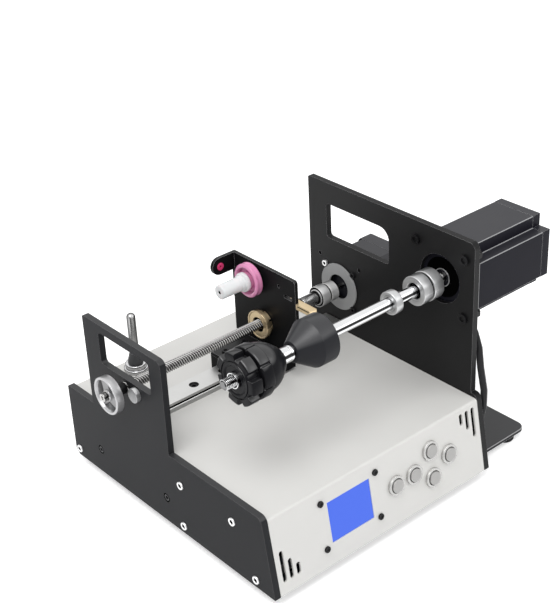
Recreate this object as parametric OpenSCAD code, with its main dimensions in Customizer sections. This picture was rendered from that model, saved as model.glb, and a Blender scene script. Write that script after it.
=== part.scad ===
// Wire coil winding machine: two side plates on a low base, a motor-driven
// spindle with clamping cones, and a lead screw that traverses the wire guide.
// X runs along the spindle, Y to the back, Z up.

/* [Frame] */
// Thickness of the side plates
plate_t = 5; // [4:0.5:6]
// How far the side plates' low part stands over the deck
low_rise = 3; // [2:0.5:5]
// Height of the left plate over the lead screw's axis
left_rise = 39.5; // [38:0.5:46]
// Height of the right plate over the spindle's axis
right_rise = 38.5; // [36:0.5:48]
// Depth of the low part in front of the left plate's tall part
left_front_y = 109; // [104:0.5:120]
// Width of the left plate's tall part
left_tall_w = 93; // [90:0.5:104]
// Depth of the low part behind the left plate's tall part
left_ledge = 34; // [32:0.5:44]
// Distance from the right plate's front edge to the spindle's axis
right_ahead = 32.5; // [31.5:0.5:36]
// How far the left plate's tall part reaches behind the right plate's
right_short = 14; // [8:0.5:16]
// Radius of the plates' front top corners
corner_r = 5; // [2:0.5:7]
// Radius of the plates' other corners
edge_r = 1.5; // [0.5:0.5:2.5]

/* [Windows] */
// Height of the left plate's window
left_window_h = 26; // [20:0.5:27]
// Solid band above the left plate's window
left_band_h = 6.5; // [5:0.5:9]
// Frame between the left window and the plate's front edge
left_window_side = 14; // [12:0.5:20]
// Frame between the left window and the plate's rear edge
left_window_rear = 19; // [14:0.5:24]
// Width of the carrying window in the right plate
grip_window_w = 68; // [60:1:76]
// Height of the carrying window in the right plate
grip_window_h = 29; // [26:0.5:32]
// Solid band above the carrying window
grip_band_h = 17.5; // [15:0.5:22]
// Frame between the carrying window and the plate's rear edge
grip_window_side = 20; // [16:0.5:24]
// Large corner radius of the carrying window
grip_r = 10; // [6:0.5:13]
// Small corner radius of both windows
window_r = 3; // [2:0.5:4]

/* [Deck] */
// Height of the deck's top face
deck_h = 59; // [54:0.5:72]
// Thickness of the deck sheet, the rear panel and the bottom pan
sheet_t = 1.5; // [1:0.25:2]
// How far the front panel leans back at the deck
panel_lean = 10; // [8:0.5:13]
// Outer radius of the bend between the deck and the front panel
sheet_bend_r = 2; // [2:0.25:3]
// Side of the square tie bars between the plates
bar_s = 8; // [7:0.5:9]
// Width of a vent slot
vent_w = 3.4; // [2.6:0.2:3.8]
// Length of the longest vent slot
vent_l = 24; // [20:1:27]
// Distance between vent slots
vent_pitch = 6.2; // [5.5:0.1:6.6]

/* [Feet] */
// Height of the rubber feet under the pan
foot_h = 8; // [7:0.5:11]
// Radius of a rubber foot
foot_r = 8; // [6:0.5:9]
// Distance from the plates' edges to the middle of a foot
foot_inset = 32; // [28:1:36]
// Thickness of the outrigger plate
outrigger_t = 3; // [2:0.5:4]
// How far the outrigger reaches past the right plate
outrigger_reach = 62; // [56:1:70]
// Depth of the outrigger plate
outrigger_d = 66; // [60:1:74]
// Radius of the outrigger plate's outer corners
outrigger_r = 7.5; // [5:0.5:10]

/* [Spindle] */
// Spindle axis, distance from the front edge
spindle_y = 48.5; // [47:0.5:52]
// Spindle axis, height over the deck
spindle_rise = 85.5; // [82:0.5:96]
// Radius of the spindle rod
rod_r = 4.5; // [4.2:0.1:5]
// Radius of the rod's threaded end
rod_thread_r = 4; // [3.6:0.1:4.1]
// Radius of the rod's plain tip
rod_tip_r = 3.8; // [3.4:0.1:3.8]
// Left end of the rod, from the left plate's outer face
rod_left_x = 6; // [4:0.5:7]
// Left face of the lock nut
lock_nut_x = 15.5; // [15.5:0.5:18]
// Thickness of each lobed ring
lobe_t = 8.5; // [8:0.5:10]
// Outer radius over the lobes
lobe_r = 19; // [18.5:0.5:22]
// Number of lobes
lobe_count = 7; // [6:1:8]
// Turn of the lock nut's lobes from the machine's back, in degrees
lobe_turn = 23.4; // [0:0.1:51]
// Turn of the clamp cone's blocks, in degrees
block_turn = 13.3; // [0:0.1:51]
// Width of the groove between the lobed rings
lobe_groove = 2; // [1.75:0.25:3]
// Length of the clamp cone's nose
nose_l = 18.5; // [17:0.5:22]
// Radius of the clamp cone's tip
nose_r = 8.5; // [7.5:0.25:9.5]
// Radius of the spindle sleeve
sleeve_r = 5.7; // [5.4:0.1:6.4]
// Length of the spindle sleeve
sleeve_l = 10.5; // [9:0.5:13]
// Length of the drive cone's taper
drive_taper_l = 15.5; // [14:0.5:18]
// Length of the drive cone's straight rim
drive_rim_l = 13; // [11:0.5:15]
// Outer radius of the drive cone
drive_r = 17.5; // [16:0.5:20]
// Radius of the stop collar
collar_r = 8.8; // [8:0.1:11]
// Length of the stop collar
collar_l = 6.5; // [6:0.5:9]
// Gap between the stop collar and the coupler
collar_gap = 18.5; // [14:0.5:20]
// Outer radius of the spindle coupler
coupler_r = 11.7; // [11:0.1:14]
// Length of the spindle coupler
coupler_l = 19.5; // [18:0.5:22]

/* [Traverse] */
// Distance from the front edge of the left plate's tall part to the lead screw
screw_back = 45.5; // [44:0.5:50]
// Lead screw axis, height over the deck
screw_rise = 38.5; // [37:0.5:42]
// Radius of the lead screw
screw_r = 4; // [3.5:0.25:4.25]
// Radius of the handwheel
wheel_r = 14.2; // [13:0.2:17]
// Thickness of the handwheel's rim
wheel_t = 6; // [5:0.5:7]
// Gap between the handwheel and the left plate
wheel_gap = 11; // [10:0.5:13]
// Number of the handwheel's spokes
spoke_count = 3; // [3:1:5]
// Radius of the lead screw coupler
screw_coupler_r = 8.5; // [8.25:0.25:10]
// Length of the lead screw coupler
screw_coupler_l = 17; // [15:0.5:19]
// Length of the coupler's slim nose on the lead screw
screw_nose_l = 16; // [12:0.5:18]
// Width of the slide rail
rail_w = 18; // [16:0.5:20]
// Height of the slide rail
rail_h = 8; // [7:0.5:8.5]
// How far the slide rail's centre line stands behind the lead screw
rail_back = 7.5; // [6.5:0.5:8.5]
// Distance between the slide rail's screws
rail_pitch = 28; // [25:1:30]

/* [Carriage] */
// Left face of the carriage, from the left plate's outer face
carriage_x = 93; // [91:0.5:97]
// Length of the carriage block along the rail
block_l = 48; // [45:0.5:50]
// Width of the carriage block across the rail
block_w = 43; // [41:0.5:45]
// Height of the carriage block
block_h = 13; // [12:0.5:13.5]
// How far the block's rear face stands behind the rail's centre line
block_rear = 15.5; // [14:0.5:17]
// Thickness of the bracket sheet
bracket_t = 3; // [2.5:0.25:3.5]
// Width of the upright bracket plate
upright_w = 72; // [70:0.5:74]
// Height of the upright's top edge over the guide wheel's axis
upright_rise = 13; // [12:0.5:16]
// How far the upright reaches behind the lead screw
upright_back = 35.5; // [34:0.5:38]
// Length of the eyelet tab
tab_l = 24; // [22:0.5:26]
// Height of the eyelet tab
tab_h = 14; // [12:0.5:15]
// Radius of the lead nut's flange
nut_flange_r = 11.5; // [11:0.25:12]
// Thickness of the lead nut's flange
nut_flange_t = 3.5; // [3:0.25:4]
// Radius of the lead nut's barrel
nut_barrel_r = 5.5; // [5.1:0.1:6]
// Length of the lead nut's barrel
nut_barrel_l = 11.5; // [10:0.5:12.5]

/* [Guide] */
// How far the guide wheel's axis stands behind the lead screw
guide_back = 9.5; // [8:0.5:11]
// Height of the guide wheel's axis over the lead screw
guide_rise = 34.5; // [33.5:0.5:38]
// Radius of the guide wheel
guide_r = 13.4; // [12:0.2:14.4]
// Width of the guide wheel
guide_w = 6.5; // [5.5:0.5:8]
// Depth of the guide wheel's groove
guide_groove = 1.5; // [1:0.25:2]
// Radius of the guide wheel's axle
axle_r = 2.5; // [2:0.25:3]
// Length of the knob in front of the guide wheel
knob_l = 24.5; // [20:0.5:26]
// Radius of the knob
knob_r = 5.6; // [5:0.2:6.4]
// Radius of the eyelet
eyelet_r = 3; // [2.6:0.1:3.4]
// Radius of the eyelet's wire hole
eyelet_hole_r = 0.8; // [0.5:0.1:1.2]
// How far the brass finger reaches in front of the upright
finger_reach = 17; // [14:0.5:20]
// Width of the brass finger
finger_w = 6.5; // [5:0.5:8]
// Thickness of the brass finger
finger_t = 4.5; // [4:0.5:5]
// Width of the slit in the brass finger
slit_w = 0.8; // [0.6:0.1:1.2]

/* [Spindle motor] */
// Side of the spindle motor's square frame
big_motor_s = 56.4; // [54:0.2:58]
// Length of the spindle motor's body
big_motor_l = 82; // [76:1:92]
// Distance between the spindle motor's screws
big_pitch = 47.14; // [46.2:0.02:48]
// Radius of the spindle motor's pilot
big_pilot_r = 19.05; // [18:0.05:19.5]
// Radius of the spindle motor's shaft
big_shaft_r = 4; // [3.5:0.25:4.25]
// Side of the notch along the motor's corners
big_notch = 9.7; // [9:0.1:10.2]

/* [Traverse motor] */
// Side of the traverse motor's square frame
small_motor_s = 42.3; // [41:0.1:43]
// Length of the traverse motor's body
small_motor_l = 48; // [40:1:56]
// Distance between the traverse motor's screws
small_pitch = 31; // [30.5:0.1:31.5]
// Radius of the traverse motor's pilot
small_pilot_r = 11; // [10.5:0.1:11.2]
// Radius of the traverse motor's shaft
small_shaft_r = 2.5; // [2:0.25:2.75]
// Outer radius of the ring plate round the shaft hole
ring_r = 19.5; // [19:0.5:20.5]
// Thickness of the ring plate
ring_t = 1.5; // [1:0.25:1.75]

/* [Front panel] */
// Width of the display glass
display_w = 39; // [36:0.5:42]
// Height of the display glass
display_h = 31; // [28:0.5:33]
// Distance from the left plate to the middle of the display
display_side = 70; // [66:0.5:84]
// How far the display sits over the middle of the panel
display_lift = 2; // [0:0.25:3]
// Distance between the display's screws across the panel
display_pitch_w = 51; // [49:0.5:54]
// Distance between the display's screws up the panel
display_pitch_h = 35.5; // [34:0.5:37]
// Distance from the display's screws to the middle of the first button
button_gap = 17.5; // [15:0.5:24]
// Distance from the middle of the last button to the right plate
panel_side = 35; // [32:0.5:44]
// How far the button cross sits over the middle of the panel
cross_lift = 1; // [0:0.25:2]
// Distance from the cross's middle to its side buttons
cross_w = 18; // [17:0.5:19]
// Distance from the cross's middle to its upper and lower buttons
cross_h = 11; // [10.5:0.25:12]
// Radius of a button's bezel
bezel_r = 7.4; // [6.8:0.2:7.8]
// Radius of a button's cap
cap_r = 5.1; // [4.5:0.1:5.3]
// Travel of a button
button_travel = 1.5; // [1:0.25:2]

/* [Wire post] */
// Wire post, distance from the left plate's outer face
post_x = 53; // [48:1:60]
// Distance from the wire post to the side plates' rear edge
post_rear = 15; // [12:0.5:20]
// Height of the wire post over the deck
post_h = 50; // [44:1:56]
// Radius of the wire post
post_r = 3.5; // [2.8:0.1:3.7]
// Radius of the lower seat ring
seat_r = 9.5; // [8.5:0.5:10]

/* [Fits] */
// Radial clearance of a running fit
run_gap = 0.06; // [0.04:0.01:0.08]
// Clearance of a part that is screwed or pressed in place
seat_gap = 0.1; // [0.05:0.05:0.15]
// Clearance between pieces that slide or turn past each other
move_gap = 0.4; // [0.3:0.05:0.5]

/* [Hidden] */
$fn = 64;

// Overrun of every cut
over = 1;
// Clearance at blind ends and round the motors' inner pieces
end_gap = 1;
// Steps in a rounded corner
corner_steps = 6;

// Places that follow from the sizes
display_x = plate_t + display_side;
cross_x = display_x + display_pitch_w / 2 + button_gap + 2 * cross_w;
frame_w = cross_x + cross_w + panel_side + plate_t;
frame_d = left_front_y + left_tall_w + left_ledge;
low_h = deck_h + low_rise;
spindle_h = deck_h + spindle_rise;
screw_y = left_front_y + screw_back;
screw_h = deck_h + screw_rise;
left_h = screw_h + left_rise;
right_h = spindle_h + right_rise;
left_rear_y = left_front_y + left_tall_w;
left_window_w = left_tall_w - left_window_side - left_window_rear;
right_front_y = spindle_y - right_ahead;
right_rear_y = left_rear_y - right_short;
rail_y = screw_y + rail_back;
guide_y = screw_y + guide_back;
guide_h = screw_h + guide_rise;
upright_h = guide_h + upright_rise;
upright_rear_y = screw_y + upright_back;
post_y = frame_d - post_rear;

// Frame
inner_right_x = frame_w - plate_t;
bay_w = frame_w - 2 * plate_t;
panel_tilt = atan2(panel_lean, deck_h);
sheet_gap = 0.2;
rear_chamfer = 4;
side_screw_r = 2.4;
side_head_r = 3.3;
side_head_t = 1.2;
side_socket_r = 1.6;
side_screw_l = 14;
// Places of the front tie bars as shares of the frame's depth and the low height
bar_place_shares = [[0.0805, 0.105], [0.174, 0.694], [0.415, 0.677], [0.415, 0.105]];
bar_rear = 6.1;
bar_rear_z = 6.5;
bar_places = concat([for (p = bar_place_shares) [p[0] * frame_d, p[1] * low_h]],
    [[frame_d - bar_rear, bar_rear_z]]);

// Driver board on the left plate, between the middle tie bars and the rear one
board_bay = frame_d - bar_rear - bar_places[3][0];
board_place_share = 0.455;
board_w_share = 0.75;
board_hole_share = 0.622;
board_t = 1.6;
board_low = 12;
board_top_gap = 9;
board_w = board_w_share * board_bay;
board_h = deck_h - board_top_gap - board_low;
board_y = bar_places[3][0] + board_place_share * board_bay;
board_z = board_low + board_h / 2;
board_hole_w = board_hole_share * board_bay;
board_hole_z = board_low + board_top_gap;
standoff_r = 3.5;
standoff_l = 8;
board_screw_r = 1.5;
board_head_r = 3.6;
board_head_t = 2.2;
board_sink = 2.6;
chip_s = 14;
chip_t = 5;

// Middle of the machine, the origin in X and Y
handle_head_t = 3;
front_x = -wheel_gap - wheel_t - handle_head_t;
motor_end_x = frame_w + big_motor_l;
mid_x = (front_x + motor_end_x) / 2;
mid_y = frame_d / 2;

// Rail
rail_count = 6;
rail_top = deck_h + rail_h;
rail_groove = 1.2;
rail_hole_r = 2;
rail_sink_r = 3.8;
rail_sink = 4;
rail_head_t = 3;
rail_screw_l = 12;
rail_x0 = plate_t + move_gap;
rail_l = bay_w - 2 * move_gap;
rail_places = [for (i = [0 : rail_count - 1]) frame_w / 2 + (i - (rail_count - 1) / 2) * rail_pitch];

// Carriage
block_lift = 2;
block_z = deck_h + block_lift;
block_top = block_z + block_h;
block_y0 = rail_y + block_rear - block_w;
bracket_foot_l = 36;
upright_x = carriage_x + bracket_foot_l;
upright_far_x = upright_x + bracket_t;
upright_y0 = upright_rear_y - upright_w;
bend_r = 3;
upright_corner_r = 2.5;
tab_y = upright_rear_y - bracket_t;
tab_z = upright_h - tab_h;
tab_x = upright_far_x - tab_l;
bracket_screw_r = 1.6;
bracket_head_r = 2.9;
bracket_head_t = 1.8;
bracket_screw_l = 5.5;
// Places of the bracket's screws as shares of its foot
bracket_place_shares = [[0.2, 0.22], [0.2, 0.78], [0.72, 0.22], [0.72, 0.78]];
bracket_places = [for (p = bracket_place_shares)
    [carriage_x + p[0] * (upright_x - carriage_x), block_y0 + p[1] * block_w]];
nut_x = upright_x - 2 * nut_flange_t;
nut_ring_r = 9;
nut_ring_notch = 2.4;
nut_ring_notches = 4;
slot_r = 1.5;
slot_l = 6;
slot_side = 5;
slot_drop = 3;
hole_side = 18;
hole_rise = 3;

// Guide wheel, from the upright to the left
washer_l = 2.4;
washer_r = 4.5;
guide_x = upright_x - washer_l - guide_w;
knob_flange_r = 7.6;
knob_flange_l = 3;
knob_x = guide_x - move_gap - knob_l;
knob_hole_r = 1.5;
knob_hole_l = 6;
axle_nut_r = 4.6;
axle_nut_l = 4;
eyelet_x = tab_x + tab_h / 2;
eyelet_z = tab_z + tab_h / 2;
eyelet_lip = 1;
finger_drop = 9.5;
finger_z = guide_h - finger_drop;
finger_seat_l = 10;
slit_depth = 3;
slit_drop = 1.2;
// Start and length of the finger's slit as shares of its reach
slit_start_share = 0.15;
slit_length_share = 0.75;

// Lead screw
screw_left_x = -wheel_gap - wheel_t;
bearing_r = 6;
bearing_flange_r = 6.8;
bearing_flange_t = 1;
hub_r = 5.5;
spoke_w = 6.4;
spoke_turn = -13;
wheel_rim_w = 2.7;
handle_screw_r = 1.6;
handle_screw_l = 9;
handle_head_r = 3.2;
screw_coupler_gap = 8;
screw_coupler_x = inner_right_x - screw_coupler_gap - screw_coupler_l;
screw_coupler_neck_r = 7.1;
screw_nose_r = 5;
screw_coupler_split_share = 0.48;
screw_coupler_small_r = 8;
neck_l = 1.5;
chamfer = 0.8;
screw_right_x = screw_coupler_x + screw_coupler_l * screw_coupler_split_share - sheet_gap;
small_shaft_x = screw_right_x + 2 * sheet_gap;

// Traverse motor
small_front_l = 10;
small_rear_l = 12;
small_pilot_l = 2;
small_corner = 5;
small_hole_r = 1.7;
small_screw_r = 1.45;
small_head_r = 2.8;
small_head_t = 2;
small_screw_l = 9;
small_rotor_r = 11;
ring_hole_r = 10.3;
small_end_x = frame_w + small_motor_l;
// Distance between the plate's spare holes round the traverse motor
spare_pitch = 44;

// Spindle motor
big_front_l = 5;
big_rear_l = 7.5;
big_pilot_l = 1.6;
big_flange_corner = 3;
big_screw_r = 2.4;
big_head_r = 3.9;
big_head_t = 2;
big_nut_r = 4.2;
big_nut_l = 4;
big_rotor_r = 15;
rotor_gap = 2;

// Spindle
lock_ring_end = lock_nut_x + lobe_t;
clamp_x = lock_ring_end + lobe_groove;
nose_x = clamp_x + lobe_t;
nose_end_x = nose_x + nose_l;
// Half widths of a grip lobe at its top and its foot, as shares of the lobe's step
grip_top_share = 0.29;
grip_foot_share = 0.37;
grip_depth = 4;
grip_round_r = 1.8;
// The same for the blocks of the clamp cone's ring
block_top_share = 0.43;
block_foot_share = 0.46;
block_depth = 1.4;
block_round_r = 0.6;
valley_r = 1.2;
neck_r = 14;
insert_r = 5.2;
insert_lip_r = 5.7;
insert_lip = 1.5;
thread_past = 2;
thread_end_x = clamp_x + thread_past;
sleeve_x = nose_end_x + sheet_gap;
drive_x = sleeve_x + sleeve_l + sheet_gap;
drive_end_x = drive_x + drive_taper_l + drive_rim_l;
drive_tip_r = 7.6;
coupler_end_gap = 7.5;
coupler_x = inner_right_x - coupler_end_gap - coupler_l;
coupler_split_share = 0.44;
coupler_groove = 1.6;
coupler_groove_depth = 1.4;
collar_x = coupler_x - collar_gap - collar_l;
rod_right_x = coupler_x + coupler_l * coupler_split_share - sheet_gap;
big_shaft_x = rod_right_x + 2 * sheet_gap;
nose_steps = 10;
nose_swell = 2.4;
nose_base_r = lobe_r - block_depth;
rod_tip_l = lock_nut_x - insert_lip - sheet_gap - rod_left_x;

// Front panel
screw_head_r = 2.4;
screw_head_t = 1.1;
screw_shank_r = 1.3;
display_screw_l = 9;
glass_t = 5.5;
glass_sink = 0.3;
glass_gap = 0.25;
display_board_t = 1.6;
display_margin = 2.5;
bezel_t = 2.2;
housing_r = 6.2;
housing_l = 14;
cap_proud = 1;
cap_l = 6;
vent_low = 9;
vent_side = 6;
// Lengths of the vent slots as shares of the longest
vent_shares = [1, 0.64, 0.38];
panel_h = norm([panel_lean, deck_h]);
display_up = panel_h / 2 + display_lift;
cross_up = panel_h / 2 + cross_lift;
button_places = [[cross_x - 2 * cross_w, cross_up], [cross_x - cross_w, cross_up],
    [cross_x, cross_up + cross_h], [cross_x, cross_up - cross_h], [cross_x + cross_w, cross_up]];

// Power inlet on the rear panel
inlet_x = 40;
inlet_h = 30;
inlet_r = 5.5;
inlet_l = 14;
inlet_hole_r = 3.1;
inlet_hole_l = 9;
inlet_nut_r = 8;
inlet_nut_l = 2.5;

// Wire post and stud
post_tail = 6;
seat_ring_h = 3.4;
seat_small_r = 8.3;
post_cone_h = 9;
post_cone_r = 6;
stud_side = 13;
stud_y = screw_y - stud_side;
stud_r = 5.6;
stud_l = 3.5;
stud_shank_r = 2.5;
stud_nut_r = 3.6;
stud_nut_l = 3;

// Motor cable, from the spindle motor's underside into the right plate
cable_r = 2.7;
cable_sides = 8;
// Steps of the cable from the right plate's face, the spindle's axis and the motor's underside
cable_steps = [[10, -14.5, 0], [10, -14.5, -6.3], [8, -23.5, -12.3], [5, -30.5, -21.3],
    [4, -33.5, -36.3], [4, -37.5, -54.3], [4, -37.5, -68.3], [4, -35.5, -78.3],
    [3, -34.5, -82.3], [0, -34.5, -82.3], [-4.5, -34.5, -82.3]];
cable_top_z = spindle_h - big_motor_s / 2;
cable_route = [for (p = cable_steps) [frame_w + p[0], spindle_y + p[1], cable_top_z + p[2]]];
cable_end = cable_route[len(cable_route) - 1];

// Unit vector along v
function unit(v) = v / norm(v);

// Points of one rounded corner at p between its neighbours a and b
function round_corner(a, p, b, r) =
    r == 0 ? [p] :
    let (u = unit(a - p),
         w = unit(b - p),
         half = acos(u * w) / 2,
         c = p + unit(u + w) * r / sin(half),
         s = p + u * r / tan(half) - c,
         e = p + w * r / tan(half) - c,
         from = atan2(s[1], s[0]),
         turn = atan2(s[0] * e[1] - s[1] * e[0], s * e))
    [for (i = [0 : corner_steps])
        c + r * [cos(from + turn * i / corner_steps), sin(from + turn * i / corner_steps)]];

// Outline through pts with a radius at each corner
function rounded(pts, radii) =
    let (n = len(pts))
    [for (i = [0 : n - 1]) each round_corner(pts[(i + n - 1) % n], pts[i], pts[(i + 1) % n], radii[i])];

// Depth of the front edge's slope at height z
function lean_at(z) = z * tan(panel_tilt);

// The machine's own place: middle of its length and depth, feet on the ground
module machine() {
    translate([-mid_x, -mid_y, foot_h]) children();
}

// A round bar of radius r from x0 to x1 along X
module bar_x(r, x0, x1) {
    translate([x0, 0, 0]) rotate([0, 90, 0]) cylinder(h = x1 - x0, r = r);
}

// An outline in Y and Z, pushed along X from x0 to x1
module slab_x(x0, x1) {
    translate([x0, 0, 0]) rotate([90, 0, 90]) linear_extrude(height = x1 - x0) children();
}

// A profile of radii over X, turned about the X axis
module lathe_x() {
    rotate([0, 90, 0]) rotate_extrude() children();
}

module at_spindle() {
    translate([0, spindle_y, spindle_h]) children();
}

module at_screw() {
    translate([0, screw_y, screw_h]) children();
}

// A place on the front panel, outward along its local Z
module on_panel(x, up) {
    translate([x, 0, 0]) rotate([90 - panel_tilt, 0, 0]) translate([0, up, 0]) children();
}

module four_corners(pitch) {
    for (y = [-pitch / 2, pitch / 2], z = [-pitch / 2, pitch / 2]) translate([0, y, z]) children();
}

module four_on_panel() {
    for (x = [-display_pitch_w / 2, display_pitch_w / 2], u = [-display_pitch_h / 2, display_pitch_h / 2])
        on_panel(display_x + x, display_up + u) children();
}

// Side plates
module plate_outline(front_y, rear_y, tall_h) {
    polygon(rounded(
        [[0, 0], [lean_at(low_h), low_h], [front_y, low_h], [front_y, tall_h], [rear_y, tall_h],
            [rear_y, low_h], [frame_d, low_h], [frame_d, rear_chamfer], [frame_d - rear_chamfer, 0]],
        [0, corner_r, 0, corner_r, edge_r, 0, edge_r, edge_r, edge_r]));
}

module window_outline(y0, z0, w, h, r_front) {
    polygon(rounded([[y0, z0], [y0 + w, z0], [y0 + w, z0 + h], [y0, z0 + h]],
        [window_r, window_r, window_r, r_front]));
}

module side_screw_holes(x0, x1) {
    for (p = bar_places) translate([0, p[0], p[1]]) bar_x(side_screw_r + seat_gap, x0, x1);
}

module left_plate() {
    color("#2b2c2e") machine() difference() {
        slab_x(0, plate_t) difference() {
            plate_outline(left_front_y, left_rear_y, left_h);
            window_outline(left_front_y + left_window_side, left_h - left_band_h - left_window_h,
                left_window_w, left_window_h, window_r);
        }
        side_screw_holes(-over, plate_t + over);
        at_screw() bar_x(bearing_r + seat_gap, -over, plate_t + over);
        translate([0, stud_y, screw_h]) bar_x(stud_shank_r + seat_gap, -over, plate_t + over);
        board_places() {
            bar_x(board_screw_r + seat_gap, -over, plate_t + over);
            bar_x(board_head_r + seat_gap, -over, board_sink);
        }
    }
}

module right_plate() {
    color("#2b2c2e") machine() difference() {
        slab_x(inner_right_x, frame_w) difference() {
            plate_outline(right_front_y, right_rear_y, right_h);
            window_outline(right_rear_y - grip_window_side - grip_window_w,
                right_h - grip_band_h - grip_window_h, grip_window_w, grip_window_h, grip_r);
        }
        side_screw_holes(inner_right_x - over, frame_w + over);
        at_screw() {
            bar_x(small_pilot_r + seat_gap, inner_right_x - over, frame_w + over);
            four_corners(small_pitch) bar_x(small_hole_r, inner_right_x - over, frame_w + over);
            four_corners(spare_pitch) bar_x(small_hole_r, inner_right_x - over, frame_w + over);
        }
        at_spindle() {
            bar_x(big_pilot_r + seat_gap, inner_right_x - over, frame_w + over);
            four_corners(big_pitch) bar_x(big_screw_r + seat_gap, inner_right_x - over, frame_w + over);
        }
        translate([0, cable_end[1], cable_end[2]])
            bar_x(cable_r + move_gap, inner_right_x - over, frame_w + over);
    }
}

// Deck and front panel, one bent sheet
module deck_cover() {
    x0 = plate_t + sheet_gap;
    inner_foot_y = sheet_t / cos(panel_tilt);
    inner_top_y = inner_foot_y + lean_at(deck_h - sheet_t);
    color("#dcdbd7") machine() difference() {
        slab_x(x0, inner_right_x - sheet_gap)
            polygon(rounded([[0, 0], [panel_lean, deck_h], [frame_d, deck_h], [frame_d, deck_h - sheet_t],
                [inner_top_y, deck_h - sheet_t], [inner_foot_y, 0]],
                [0, sheet_bend_r, 0, 0, sheet_bend_r - sheet_t, 0]));
        on_panel(display_x, display_up)
            cube([display_w + 2 * glass_gap, display_h + 2 * glass_gap, 4 * sheet_t], center = true);
        four_on_panel() cylinder(h = 4 * sheet_t, r = screw_shank_r + seat_gap, center = true);
        for (p = button_places)
            on_panel(p[0], p[1]) cylinder(h = 4 * sheet_t, r = housing_r + seat_gap, center = true);
        vent_slots();
        for (x = rail_places)
            translate([x, rail_y, deck_h]) cylinder(h = 4 * sheet_t, r = rail_hole_r, center = true);
        translate([post_x, post_y, deck_h]) cylinder(h = 4 * sheet_t, r = post_r + seat_gap, center = true);
    }
}

// One vent slot, lower end at up
module vent_slot(x, up, l) {
    on_panel(x, up) translate([0, vent_w / 2, 0]) {
        cylinder(h = 4 * sheet_t, r = vent_w / 2, center = true);
        translate([0, l - vent_w, 0]) cylinder(h = 4 * sheet_t, r = vent_w / 2, center = true);
        translate([-vent_w / 2, 0, -2 * sheet_t]) cube([vent_w, l - vent_w, 4 * sheet_t]);
    }
}

module vent_slots() {
    for (i = [0 : len(vent_shares) - 1]) {
        vent_slot(plate_t + vent_side + i * vent_pitch, vent_low, vent_shares[i] * vent_l);
        vent_slot(inner_right_x - vent_side - i * vent_pitch,
            panel_h - vent_low / 2 - vent_shares[i] * vent_l, vent_shares[i] * vent_l);
    }
}

module rear_panel() {
    color("#dcdbd7") machine() difference() {
        translate([plate_t + sheet_gap, frame_d - sheet_t, sheet_t])
            cube([bay_w - 2 * sheet_gap, sheet_t, deck_h - 2 * sheet_t]);
        translate([inlet_x, frame_d, inlet_h]) rotate([90, 0, 0])
            cylinder(h = 4 * sheet_t, r = inlet_r + seat_gap, center = true);
    }
}

module base_pan() {
    front_y = sheet_t / cos(panel_tilt) + lean_at(sheet_t) + sheet_gap;
    color("#3a3b3d") machine()
        translate([plate_t + sheet_gap, front_y, 0])
            cube([bay_w - 2 * sheet_gap, frame_d - front_y, sheet_t]);
}

module tie_bars() {
    color("#b9bcc0") machine()
        for (p = bar_places) difference() {
            translate([plate_t, p[0] - bar_s / 2, p[1] - bar_s / 2]) cube([bay_w, bar_s, bar_s]);
            translate([0, p[0], p[1]]) {
                bar_x(side_screw_r + seat_gap, plate_t - over, side_screw_l + over);
                bar_x(side_screw_r + seat_gap, frame_w - side_screw_l - over, inner_right_x + over);
            }
        }
}

// A pan-head screw with a hexagon socket, its head before x = 0
module side_screw() {
    difference() {
        union() {
            bar_x(side_head_r, -side_head_t, 0);
            bar_x(side_screw_r, 0, side_screw_l);
        }
        translate([-side_head_t - over, 0, 0]) rotate([0, 90, 0])
            cylinder(h = side_head_t + over, r = side_socket_r, $fn = 6);
    }
}

module side_screws() {
    color("#f2f2f0") machine() for (p = bar_places) {
        translate([0, p[0], p[1]]) side_screw();
        translate([frame_w, p[0], p[1]]) mirror([1, 0, 0]) side_screw();
    }
}

// Driver board behind the left plate
module board_places() {
    for (y = [-board_hole_w / 2, board_hole_w / 2]) translate([0, board_y + y, board_hole_z]) children();
}

module board_screws() {
    color("#18191a") machine() board_places() difference() {
        union() {
            bar_x(board_head_r, board_sink - board_head_t, board_sink);
            bar_x(board_screw_r, board_sink, plate_t + standoff_l + board_t + end_gap);
        }
        translate([board_sink - board_head_t - over, 0, 0]) rotate([0, 90, 0])
            cylinder(h = board_head_t, r = side_socket_r, $fn = 6);
    }
}

module board_standoffs() {
    color("#c9a44a") machine() board_places() difference() {
        bar_x(standoff_r, plate_t, plate_t + standoff_l);
        bar_x(board_screw_r + seat_gap, plate_t - over, plate_t + standoff_l + over);
    }
}

module driver_board() {
    board_x = plate_t + standoff_l;
    color("#1f6b3a") machine() difference() {
        union() {
            translate([board_x, board_y - board_w / 2, board_z - board_h / 2])
                cube([board_t, board_w, board_h]);
            for (y = [-1, 1]) translate([board_x + board_t, board_y + y * board_w / 4 - chip_s / 2, board_z])
                cube([chip_t, chip_s, chip_s]);
        }
        board_places() bar_x(board_screw_r + seat_gap, board_x - over, board_x + board_t + over);
    }
}

// Feet and outrigger
module outrigger_plate() {
    color("#2b2c2e") machine()
        translate([frame_w, right_front_y, -outrigger_t])
            linear_extrude(height = outrigger_t)
                polygon(rounded(
                    [[-foot_inset + foot_r, 0], [outrigger_reach, 0],
                        [outrigger_reach, outrigger_d], [-foot_inset + foot_r, outrigger_d]],
                    [0, outrigger_r, outrigger_r, 0]));
}

module foot(x, y, top) {
    translate([x, y, -foot_h]) cylinder(h = foot_h - top, r = foot_r);
}

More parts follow.
